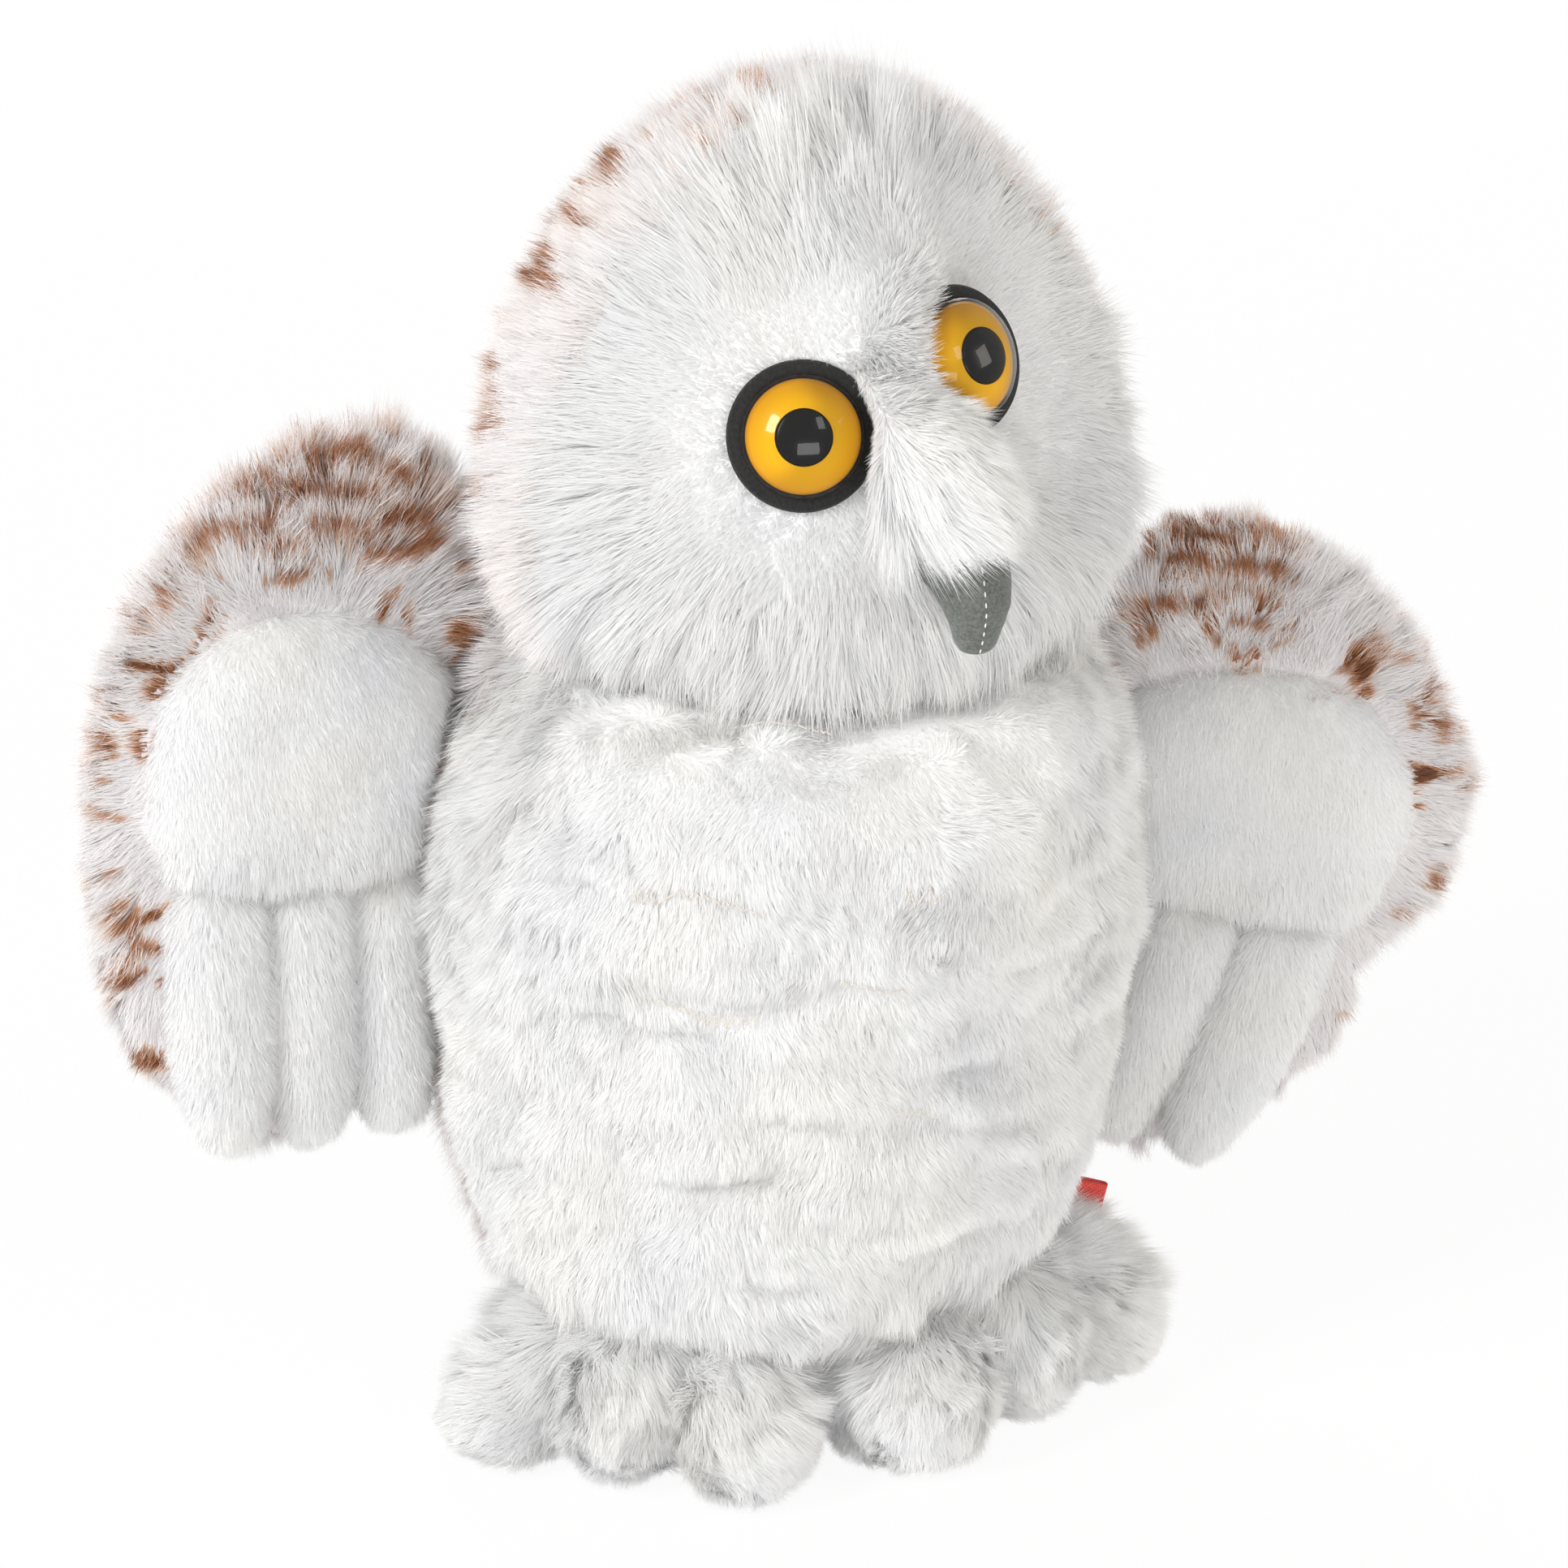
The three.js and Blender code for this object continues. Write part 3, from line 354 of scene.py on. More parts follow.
def pile_tree():
    """Geometry nodes that grow a pile: tapered fibres, drawn together into tufts."""
    taper, root_sink, floor_gap = 0.6, 0.04, 0.0006
    print_jitter, lit_lean, lit_jitter = 0.05, (0.28,) * 3, (0.08,) * 3
    tree = bpy.data.node_groups.new("pile", "GeometryNodeTree")
    face = tree.interface
    face.new_socket("Cloth", in_out="INPUT", socket_type="NodeSocketGeometry")
    for name in ("Fibres", "Width", "Shortest", "Stray", "Tufts", "Tuft pull", "Tuft sway",
                 "Tuft shortest", "Droop", "Roll"):
        face.new_socket(name, in_out="INPUT", socket_type="NodeSocketFloat")
    for name in ("Segments", "Seed"):
        face.new_socket(name, in_out="INPUT", socket_type="NodeSocketInt")
    face.new_socket("Fibre", in_out="INPUT", socket_type="NodeSocketMaterial")
    face.new_socket("Pile", in_out="OUTPUT", socket_type="NodeSocketGeometry")
    given = tree.nodes.new("NodeGroupInput").outputs

    def value(operation, *wired):
        return out(node(tree, "ShaderNodeMath", *wired, operation=operation))

    def vector(operation, *wired):
        return out(node(tree, "ShaderNodeVectorMath", *wired, operation=operation))

    def scaled(what, by):
        made = node(tree, "ShaderNodeVectorMath", what, operation="SCALE")
        tree.links.new(by, made.inputs["Scale"])
        return out(made)

    def named(name, kind):
        return out(node(tree, "GeometryNodeInputNamedAttribute", name, data_type=kind))

    def kept(geometry, name, what, kind, domain):
        return out(node(tree, "GeometryNodeStoreNamedAttribute", geometry, None, name, what,
                        data_type=kind, domain=domain))

    def chance(low, high, turn, of=None):
        kind = "FLOAT_VECTOR" if isinstance(low, tuple) else "FLOAT"
        seed = value("ADD", given["Seed"], float(turn))
        return out(node(tree, "FunctionNodeRandomValue", low, high, of, seed, data_type=kind))

    # One fibre, a unit long: a strip that narrows to a point and bows over.
    rows = value("ADD", given["Segments"], 1.0)
    strip = out(node(tree, "GeometryNodeMeshGrid", 1.0, 1.0, 2, rows))
    position = out(tree.nodes.new("GeometryNodeInputPosition"))
    place = node(tree, "ShaderNodeSeparateXYZ", position).outputs
    strip = kept(strip, "along", value("ADD", place["Y"], 0.5), "FLOAT", "POINT")
    along = named("along", "FLOAT")
    narrow = value("POWER", value("SUBTRACT", 1.0, along), taper)
    bow = value("MULTIPLY", value("MULTIPLY", along, along), value("MULTIPLY", given["Droop"], -1.0))
    rise = value("MULTIPLY_ADD", along, 1 + root_sink, -root_sink)
    aside = value("MULTIPLY", value("MULTIPLY", place["X"], narrow), -1.0)
    shaped = out(node(tree, "ShaderNodeCombineXYZ", aside, bow, rise))
    strip = out(node(tree, "GeometryNodeSetPosition", strip, None, shaped))
    strip = out(node(tree, "GeometryNodeMergeByDistance", strip, None, 0.0005))

    # Roots spread over the cloth, and the tuft that each of them leans to.
    amount = value("MULTIPLY", given["Fibres"], named("growth", "FLOAT"))
    spread = "GeometryNodeDistributePointsOnFaces"
    roots = node(tree, spread, given["Cloth"], None, amount, given["Seed"])
    tuft_seed = value("ADD", given["Seed"], 57.0)
    tufts = out(node(tree, spread, given["Cloth"], None, given["Tufts"], tuft_seed))
    tuft = out(node(tree, "GeometryNodeSampleNearest", tufts, position, domain="POINT"))
    centre = out(node(tree, "GeometryNodeSampleIndex", tufts, position, tuft,
                      data_type="FLOAT_VECTOR", domain="POINT"))
    minus, plus = (-1.0, -1.0, -1.0), (1.0, 1.0, 1.0)
    sway = scaled(chance(minus, plus, 1, tuft), given["Tuft sway"])
    stray = scaled(chance(minus, plus, 2), given["Stray"])
    heading = vector("ADD", vector("ADD", named("comb", "FLOAT_VECTOR"), sway), stray)
    long = value("MULTIPLY", named("pile", "FLOAT"), chance(given["Shortest"], 1.0, 3))
    long = value("MULTIPLY", long, chance(given["Tuft shortest"], 1.0, 4, tuft))
    loose = value("MINIMUM", value("MULTIPLY", long, 100.0), 1.0)
    pull = scaled(vector("SUBTRACT", centre, position), value("MULTIPLY", given["Tuft pull"], loose))
    reach = vector("ADD", scaled(vector("NORMALIZE", heading), long), pull)

    # No fibre goes down through the floor that the owl stands on.
    split = node(tree, "ShaderNodeSeparateXYZ", reach).outputs
    height = node(tree, "ShaderNodeSeparateXYZ", position).outputs["Z"]
    above = value("MAXIMUM", split["Z"], value("SUBTRACT", floor_gap, height))
    reach = out(node(tree, "ShaderNodeCombineXYZ", split["X"], split["Y"], above))

    size = out(node(tree, "ShaderNodeVectorMath", reach, operation="LENGTH"), "Value")
    facing = vector("ADD", out(roots, "Normal"), scaled(chance(minus, plus, 5), given["Roll"]))
    lean = vector("MULTIPLY", vector("NORMALIZE", reach), lit_lean)
    uneven = vector("MULTIPLY", chance(minus, plus, 8), lit_jitter)
    lit = vector("ADD", vector("ADD", out(roots, "Normal"), lean), uneven)
    turn = out(node(tree, "FunctionNodeAlignRotationToVector", None, 1.0, reach, axis="Z"))
    turn = out(node(tree, "FunctionNodeAlignRotationToVector", turn, 1.0, facing, axis="Y", pivot_axis="Z"))
    wide = value("MULTIPLY", given["Width"], chance(0.6, 1.2, 6))
    scale = out(node(tree, "ShaderNodeCombineXYZ", wide, size, size))
    made = out(node(tree, "GeometryNodeInstanceOnPoints", out(roots, "Points"), None, strip, None, None,
                    turn, scale))
    dye = value("ADD", named("tint", "FLOAT"), chance(-print_jitter, print_jitter, 7))
    made = kept(made, "print", dye, "FLOAT", "INSTANCE")
    made = kept(made, "shade", vector("NORMALIZE", lit), "FLOAT_VECTOR", "INSTANCE")
    made = kept(made, "ground", out(roots, "Normal"), "FLOAT_VECTOR", "INSTANCE")
    made = out(node(tree, "GeometryNodeRealizeInstances", made))
    spot = out(node(tree, "ShaderNodeCombineXYZ", named("print", "FLOAT"), along, 0.0))
    spot = vector("MULTIPLY_ADD", spot, (MAP_SPAN, MAP_SPAN, 0.0), (MAP_EDGE, MAP_EDGE, 0.0))
    made = kept(made, "OFBake", spot, "FLOAT2", "CORNER")
    shade = named("shade", "FLOAT_VECTOR")
    made = out(node(tree, "GeometryNodeSetMeshNormal", made, shade, mode="FREE", domain="POINT"))
    made = out(node(tree, "GeometryNodeSetMaterial", made, None, given["Fibre"]))
    tree.links.new(made, tree.nodes.new("NodeGroupOutput").inputs[0])
    return tree


PILE = pile_tree()


def run_nodes(piece, tree, values):
    """Runs a node tree on a piece, its inputs set by their sockets, down to a plain mesh."""
    made = piece.modifiers.new(tree.name, "NODES")
    made.node_group = tree
    for socket in tree.interface.items_tree:
        if socket.in_out == "INPUT" and socket.name in values:
            made[socket.identifier] = values[socket.name]
    finished(piece)


def grown(name, cloth, material, seed, fibres, width, shortest=0.6, stray=0.25, tufts=0.05,
          tuft_pull=0.4, tuft_sway=0.2, tuft_shortest=0.8, droop=0.12, roll=0.35, segments=1, marks=()):
    """A pile on a cloth, with so many fibres and tufts on each square millimetre. Marks are
    printed on it from outside, so that they lie on the ends of the fibres."""
    piece = placed(name, cloth.data.copy())
    run_nodes(piece, PILE, {
        "Fibres": fibres * 1e6, "Width": width, "Shortest": shortest, "Stray": stray,
        "Tufts": tufts * 1e6, "Tuft pull": tuft_pull, "Tuft sway": tuft_sway,
        "Tuft shortest": tuft_shortest, "Droop": droop, "Roll": roll,
        "Segments": segments, "Seed": seed, "Fibre": material,
    })
    if marks:
        mesh = piece.data
        ground = np.zeros(len(mesh.vertices) * 3, np.float32)
        mesh.attributes["ground"].data.foreach_get("vector", ground)
        dark = printed(read_points(mesh), ground.reshape(-1, 3).astype(float), marks)
        spots = np.zeros(len(mesh.loops) * 2, np.float32)
        corners = np.zeros(len(mesh.loops), np.int32)
        mesh.loops.foreach_get("vertex_index", corners)
        mesh.uv_layers["OFBake"].data.foreach_get("uv", spots)
        spots[0::2] = np.clip(spots[0::2] + MAP_SPAN * dark[corners], MAP_EDGE, MAP_EDGE + MAP_SPAN)
        mesh.uv_layers["OFBake"].data.foreach_set("uv", spots)
    for spare in ("comb", "pile", "growth", "tint", "print", "shade", "along", "ground"):
        if spare in piece.data.attributes:
            piece.data.attributes.remove(piece.data.attributes[spare])
    piece.data.materials.clear()
    piece.data.materials.append(material)
    return piece


def ramped(tree, value, colours):
    """A row of colours, each at its place from 0 to 1."""
    ramp = node(tree, "ShaderNodeValToRGB", value)
    steps = ramp.color_ramp.elements
    while len(steps) < len(colours):
        steps.new(0.5)
    for step, (place, colour) in zip(steps, colours):
        step.position, step.color = place, (*colour, 1)
    return out(ramp)


def blank_material(name):
    """A new material, its nodes and its main shader."""
    made = bpy.data.materials.new(name)
    made.use_nodes = True
    return made, made.node_tree, made.node_tree.nodes["Principled BSDF"]


def speckle(tree, *settings):
    """A fine noise that is fixed to the piece, by its scale, detail and roughness."""
    where = out(node(tree, "ShaderNodeTexCoord"), "Object")
    return out(node(tree, "ShaderNodeTexNoise", where, *settings))


def raised(tree, shader, height, strength, distance):
    """Lets a pattern stand up from a surface, as fine relief."""
    rise = node(tree, "ShaderNodeBump", strength, distance)
    tree.links.new(height, rise.inputs["Height"])
    tree.links.new(out(rise), shader.inputs["Normal"])


def pile_material(name, colours, root_shade, rough, sheen, through):
    """Fibres coloured by their print, with painted shade that darkens each fibre from its tip down to its
    base.
    """
    made, tree, shader = blank_material(name)
    spot = out(node(tree, "ShaderNodeUVMap", uv_map="OFBake"))
    parts = node(tree, "ShaderNodeSeparateXYZ", spot).outputs
    # Painted shade: the fibre's colour falls towards its base, standing in for the shade deep in the pile.
    depth = out(node(tree, "ShaderNodeMapRange", parts["Y"], 0.0, 0.7, root_shade, 1.0))
    tone = node(tree, "ShaderNodeVectorMath", ramped(tree, parts["X"], colours), operation="SCALE")
    tree.links.new(depth, tone.inputs["Scale"])
    tree.links.new(out(tone), shader.inputs["Base Color"])
    shader.inputs["Roughness"].default_value = rough
    shader.inputs["Sheen Weight"].default_value = sheen
    soft = node(tree, "ShaderNodeBsdfTranslucent", out(tone))
    both = node(tree, "ShaderNodeMixShader", through, out(shader), out(soft))
    tree.links.new(out(both), tree.nodes["Material Output"].inputs["Surface"])
    return made


def cloth_material(name, colours):
    """The knitted ground under a pile, with the same print soaked through it, in colours darkened as painted
    shade from the pile over it.
    """
    made, tree, shader = blank_material(name)
    tint = node(tree, "ShaderNodeAttribute", attribute_name="tint")
    tree.links.new(ramped(tree, out(tint, "Fac"), colours), shader.inputs["Base Color"])
    raised(tree, shader, speckle(tree, 900.0), strength=0.3, distance=0.0005)
    shader.inputs["Roughness"].default_value = 0.9
    return made


WHITES = ((0.0, (0.92, 0.92, 0.93)), (0.5, (0.945, 0.945, 0.94)), (1.0, (0.95, 0.94, 0.92)))
PRINT = (
    (0.0, (0.90, 0.89, 0.895)), (0.25, (0.87, 0.79, 0.74)), (0.5, (0.60, 0.31, 0.16)),
    (0.75, (0.39, 0.155, 0.06)), (1.0, (0.20, 0.07, 0.03)),
)
# The knit ground's colours are darker than its pile's: painted shade for the cloth that lies under the pile.
WHITE_KNIT_IN_SHADE = ((0.0, (0.79, 0.79, 0.80)), (1.0, (0.84, 0.835, 0.825)))
PRINTED_KNIT_IN_SHADE = ((0.0, (0.72, 0.70, 0.71)), (1.0, (0.30, 0.13, 0.07)))
# The number after each pile's colours sets how bright its fibres stay at their base under that painted shade.
white_pile = pile_material("white_pile", WHITES, root_shade=0.97, rough=0.6, sheen=0.1, through=0.42)
printed_pile = pile_material("printed_pile", PRINT, root_shade=0.95, rough=0.6, sheen=0.1, through=0.3)
white_cloth = cloth_material("white_cloth", WHITE_KNIT_IN_SHADE)
printed_cloth = cloth_material("printed_cloth", PRINTED_KNIT_IN_SHADE)

BELLY_TUCKS = (
    (
        (-67, -6, 151), (-51, -38, 160), (-30, -53, 159), (-18, -57, 159), (0, -59, 158), (24, -55, 158),
        (47, -44, 156),
    ),
    (
        (-71, -6, 130), (-60, -34, 144), (-44, -49, 145), (-26, -58, 145), (-9, -62, 141), (9, -62, 142),
        (32, -57, 140), (60, -36, 133),
    ),
    (
        (-70, -16, 119), (-61, -35, 129), (-47, -49, 127), (-31, -58, 123), (-16, -63, 119), (0, -65, 125),
        (19, -63, 121), (46, -50, 116), (67, -24, 104),
    ),
    (
        (-71, -5, 93), (-60, -37, 109), (-44, -51, 112), (-30, -59, 111), (-14, -63, 108), (2, -65, 103),
        (17, -63, 98), (38, -55, 96), (64, -29, 89),
    ),
    (
        (-70, -11, 82), (-58, -38, 92), (-45, -51, 93), (-30, -58, 91), (-14, -63, 92), (5, -64, 88),
        (27, -59, 82), (52, -44, 75),
    ),
    (
        (-66, -16, 63), (-54, -41, 78), (-42, -51, 77), (-27, -59, 76), (-11, -63, 78), (2, -63, 75),
        (24, -59, 72), (48, -45, 65),
    ),
    (
        (-58, -19, 43), (-50, -42, 61), (-40, -50, 64), (-26, -55, 56), (-14, -56, 49), (0, -59, 52),
        (21, -57, 56), (47, -42, 54),
    ),
)
BELLY_STITCHES = (
    ((-15, -54, 166), (-10, -55, 165), (-4, -56, 165)),
    ((-38, -52, 146), (-29, -57, 145), (-20, -60, 144), (-16, -62, 143)),
    ((-39, -55, 120), (-30, -59, 117), (-18, -63, 115)),
    ((-3, -64, 126), (2, -65, 125), (10, -64, 121)),
    ((9, -64, 91), (19, -62, 89)),
    ((10, -62, 144), (16, -61, 144)),
)
BODY_NODES = ("body_front_cover", "body_back_cover", "body_base_panel", "body_stuffing", "pellet_pouch")
body_cloth = sewn_form("body_cloth", BODY_NODES, BODY_GRID)
moved_in(body_cloth, BODY_INSET)
points = read_points(body_cloth.data)
middle = points.mean(0)
away = points - middle
away[:, 2] = 0
forward = eased(-0.2, 0.5, -unit(away)[:, 1])
under_chin = eased(0.2, 0.85, -unit(away)[:, 1])
under_ruff = eased(*CHEST_RISE, points[:, 2]) * eased(*NECK_END, points[:, 2])
over_feet = eased(*LEG_RISE, points[:, 2]) * eased(*LEG_SIDE, points[:, 0])
fuller = under_chin * CHEST_FILL * under_ruff + forward * LEG_FILL * over_feet
write_points(body_cloth.data, points + unit(away) * fuller[:, None])
plumped(body_cloth, BODY_SWELL)
subdivided(body_cloth, 1)
points, normals = skin(body_cloth)
front = eased(-0.1, 0.5, -normals[:, 1])
lift = 0.0017 * ripple(points, 0.03, 3) + 0.0008 * ripple(points, 0.014, 4)
in_tuck = np.zeros(len(points))
for tuck in BELLY_TUCKS:
    far, above = near_line(points, normals, tuck)
    bulge = np.exp(-(((far - BULGE_OFF) / BULGE_WIDE) ** 2)) * TUCK_BULGE
    groove = np.exp(-((far / GROOVE_WIDE) ** 2)) * TUCK_GROOVE
    held = front * eased(-0.5, 0.9, ripple(points, 0.028, 8))
    lift += held * (np.where(above > 0, bulge, 0) - groove)
    in_tuck = np.maximum(in_tuck, held * np.exp(-((far / 0.0035) ** 2)))
write_points(body_cloth.data, points + normals * lift[:, None])
points, normals = skin(body_cloth)
seam_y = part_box("body_front_cover")[1].y
on_front = points[:, 1] < seam_y
flow = along_cloth((0, 0, -1.0), normals) + 0.45 * along_cloth(swirl(points, 0.035, 21), normals)
flow += 0.4 * along_cloth(swirl(points, 0.014, 24), normals)
lower_rim = front * eased(*RIM_RISE, points[:, 2])
lying, standing = 0.85 + 0.5 * lower_rim, 0.85 - 0.3 * lower_rim
comb = unit(unit(flow) * lying[:, None] + normals * standing[:, None])
label_place = (np.array(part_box("label_tab")[0]) + np.array(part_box("label_tab")[1])) / 2
stitch_far = np.min([near_line(points, normals, row)[0] for row in BELLY_STITCHES], axis=0)
length = BELLY_PILE * (1 - 0.45 * in_tuck) * (0.25 + 0.75 * eased(0.0008, 0.003, stitch_far))
by_wing = eased(0.048, 0.064, np.abs(points[:, 0])) * eased(0.09, 0.12, points[:, 2])
length += SIDE_PILE * by_wing + RIM_PILE * lower_rim * (0.6 + 0.4 * ripple(points, 0.02, 9))
length *= 1 - 0.4 * front * eased(0.152, 0.166, points[:, 2])
length = np.where(on_front, length, BACK_PILE)
length *= eased(*LABEL_CLEAR, np.linalg.norm(points - label_place, axis=1))
on_back = (points[:, 1] > 0.02) & (points[:, 2] > 0.03)
back_marks = scattered(points, normals, on_back, seed=5, apart=0.017, length=0.012, half_width=0.0018)
soft_tone = 0.5 + 0.3 * ripple(points, 0.04, 31)
open_cloth = 1.0 - 0.9 * (normals[:, 2] > 0.9)
give(body_cloth.data, comb=comb, pile=length, tint=np.where(on_front, soft_tone, 0.0))
body_cloth.data.materials.append(white_cloth)
belly_piles = []
for turn, half in enumerate((points[:, 0] < 0, points[:, 0] >= 0)):
    give(body_cloth.data, growth=on_front * half * open_cloth)
    belly_piles.append(
        grown(f"belly_pile_{turn + 1}", body_cloth, white_pile, seed=101 + turn, fibres=9.5, width=0.0003,
              tufts=0.07, tuft_pull=0.2, tuft_sway=0.2, stray=0.22))
give(body_cloth.data, growth=(~on_front) * open_cloth)
back_pile = grown("back_pile", body_cloth, printed_pile, seed=103, fibres=5.0, width=0.0004, marks=back_marks)


def stitch_tree():
    """Geometry nodes that lay one stitch of thread along every edge of a path."""
    tree = bpy.data.node_groups.new("stitches", "GeometryNodeTree")
    face = tree.interface
    face.new_socket("Path", in_out="INPUT", socket_type="NodeSocketGeometry")
    face.new_socket("Thickness", in_out="INPUT", socket_type="NodeSocketFloat")
    face.new_socket("Thread", in_out="INPUT", socket_type="NodeSocketMaterial")
    face.new_socket("Stitches", in_out="OUTPUT", socket_type="NodeSocketGeometry")
    given = tree.nodes.new("NodeGroupInput").outputs
    ends = tree.nodes.new("GeometryNodeInputMeshEdgeVertices")
    run = out(node(tree, "ShaderNodeVectorMath", out(ends, "Position 2"), out(ends, "Position 1"),
                   operation="SUBTRACT"))
    made = out(node(tree, "GeometryNodeStoreNamedAttribute", given["Path"], None, "run", run,
                    data_type="FLOAT_VECTOR", domain="EDGE"))
    made = out(node(tree, "GeometryNodeMeshToPoints", made, mode="EDGES"))
    run = out(node(tree, "GeometryNodeInputNamedAttribute", "run", data_type="FLOAT_VECTOR"))
    bead = out(node(tree, "GeometryNodeMeshUVSphere", 6, 4, 0.5))
    turn = out(node(tree, "FunctionNodeAlignRotationToVector", None, 1.0, run, axis="Z"))
    long = out(node(tree, "ShaderNodeVectorMath", run, operation="LENGTH"), "Value")
    scale = out(node(tree, "ShaderNodeCombineXYZ", given["Thickness"], given["Thickness"], long))
    made = out(node(tree, "GeometryNodeInstanceOnPoints", made, None, bead, None, None, turn, scale))
    made = out(node(tree, "GeometryNodeRealizeInstances", made))
    made = out(node(tree, "GeometryNodeSetMaterial", made, None, given["Thread"]))
    tree.links.new(made, tree.nodes.new("NodeGroupOutput").inputs[0])
    return tree


STITCHES = stitch_tree()


def thread_material(name, dark, pale):
    """Spun thread: two shades that wind round it."""
    made, tree, shader = blank_material(name)
    ply = speckle(tree, 2500.0)
    tree.links.new(ramped(tree, ply, ((0.35, dark), (0.65, pale))), shader.inputs["Base Color"])
    shader.inputs["Roughness"].default_value = 0.75
    return made


def stitched(name, rows, thickness, thread):
    """Stitches along rows of needle holes, one from each hole to the next in its row."""
    mesh = bpy.data.meshes.new(name)
    holes, edges = [], []
    for row in rows:
        edges += [(len(holes) + k, len(holes) + k + 1) for k in range(len(row) - 1)]
        holes += [tuple(hole) for hole in row]
    mesh.from_pydata(holes, edges, [])
    piece = placed(name, mesh)
    run_nodes(piece, STITCHES, {"Thickness": thickness, "Thread": thread})
    piece.data.shade_smooth()
    return piece


def zigzag(line, step, swing):
    """Needle holes that swing from side to side along a line."""
    holes = []
    for start, end in zip(line[:-1], line[1:]):
        start, end = np.array(start) * MM, np.array(end) * MM
        count = max(1, round(np.linalg.norm(end - start) / step))
        holes += [start + (end - start) * k / count for k in range(count)]
    return [hole + (0, 0, swing if k % 2 else -swing) for k, hole in enumerate(holes)]


belly_skin = BVHTree.FromObject(body_cloth, bpy.context.evaluated_depsgraph_get())
rows = []
for line in BELLY_STITCHES:
    found = [belly_skin.find_nearest(Vector(hole)) for hole in zigzag(line, STITCH_STEP, STITCH_SWING)]
    rows.append([place + normal * STITCH_RISE for place, normal, *_ in found])
belly_thread = thread_material("belly_thread", (0.60, 0.54, 0.46), (0.74, 0.69, 0.62))
belly_stitches = stitched("belly_stitches", rows, BELLY_THREAD, belly_thread)
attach(belly_stitches, "body")
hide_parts(*BODY_NODES)
for piece in (body_cloth, back_pile, *belly_piles):
    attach(piece, "body")

# Head: a stuffed ball with a long white face pile that is clipped short round the eyes
# and flares into a ruff, and a printed pile behind. It is sewn down onto the neck.
HEAD_MIDDLE = np.array((0.0051, -0.0076, 0.176))
HEAD_CORE = HEAD_MIDDLE + (0, 0, 0.05)
HEAD_TURN = math.radians(8)
FACE_SEAM = 0.008
FACE_PILE = 0.021
EYE_PILE = 0.0035
NAPE_PILE = 0.013
BROW_PILE = 0.003
BROW_FILL, BROW_OFF, BROW_WIDE = 0.006, 0.006, 0.008
TEMPLE_PRESS = 0.010
HEAD_GRID, HEAD_SWELL = 0.004, 0.002
HANG_RISE, LEAN_RISE, CROWN_RISE = (0.212, 0.186), (0.204, 0.184), (0.250, 0.282)
RING_RADIUS = 0.0147
NAPE_SHOWN = 0.007
BROW_WAY = np.array((-0.95, -0.2, 0.15))
TEMPLE_WAY = np.array((0.93, 0.2, 0.2))
BRIDGE_WAY = np.array((0.1, -0.35, -1.0))
HEAD_MARKS = (
    (1.8, 0.5, (-5, 2, 285), (-3, -4, 286)), (0.8, 0.8, (-11, -14, 284), (-9, -20, 282)),
    (0.7, 0.6, (-18, -12, 281), (-17, -17, 280)), (1.5, 0.85, (-31, 5, 271), (-30, 0, 272)),
    (1.2, 0.7, (-35, 7, 264), (-35, 3, 264)), (1.2, 0.7, (-38, 6, 260), (-39, -8, 262)),
    (1.4, 0.9, (-46, 8, 246), (-45, -12, 252)), (1.4, 0.5, (-49, 12, 236), (-50, 12, 234)),
    (1.4, 0.5, (-52, 12, 227), (-56, -1, 227)), (1.5, 0.6, (-56, 0, 223), (-57, 0, 217)),
)
FACE_STREAKS = (
    (0.6, 0.6, (-19, -17, 289), (-20, -35, 285)),
    (0.8, 0.7, (-12, -18, 291), (-13, -34, 290), (-12, -42, 286)),
    (0.5, 0.4, (-17, -26, 290), (-17, -37, 287)), (0.5, 0.45, (-45, -13, 263), (-42, -38, 264)),
    (0.4, 0.4, (-42, -29, 267), (-34, -44, 268)),
)
HEAD_NODES = ("head_face_cover", "head_back_cover", "head_stuffing")
EYE_LEAN = {"right": (0.03, 0, 0.03), "left": (0.12, 0, 0)}
EYE_SHIFT = {"right": (0.0005, 0, 0), "left": (-0.0024, 0, -0.0014)}
eyes, eye_ways = {}, {}
for word in ("right", "left"):
    felt = read_points(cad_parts[word + "_eye_felt_ring"].data)
    way = np.linalg.svd(felt - felt.mean(0))[2][2]
    way = way * np.sign(way @ (felt.mean(0) - HEAD_CORE))
    eye_ways[word] = unit(way + EYE_LEAN[word])
    eyes[word] = felt.mean(0) + EYE_SHIFT[word]
head_cloth = sewn_form("head_cloth", HEAD_NODES, HEAD_GRID)
points, normals = skin(head_cloth)
eye_far = np.min([np.linalg.norm(points - eye, axis=1) for eye in eyes.values()], axis=0)
sides = eased(-0.8, -0.3, normals[:, 2])
moved_in(head_cloth, (0.001 + 0.002 * eased(0.016, 0.045, eye_far)) * sides)
plumped(head_cloth, HEAD_SWELL)
subdivided(head_cloth, 1)


def gap_to(points, others):
    """How far each point is from the nearest of some other points."""
    tree = KDTree(len(others))
    for i, place in enumerate(others):
        tree.insert(place, i)
    tree.balance()
    return np.array([tree.find(place)[2] for place in points])


def eye_polar(points, word):
    """Points from an eye's middle, how far they stand out of its felt, and how far aside."""
    off = points - eyes[word]
    stand = off @ eye_ways[word]
    return off, stand, np.linalg.norm(off - np.outer(stand, eye_ways[word]), axis=1)


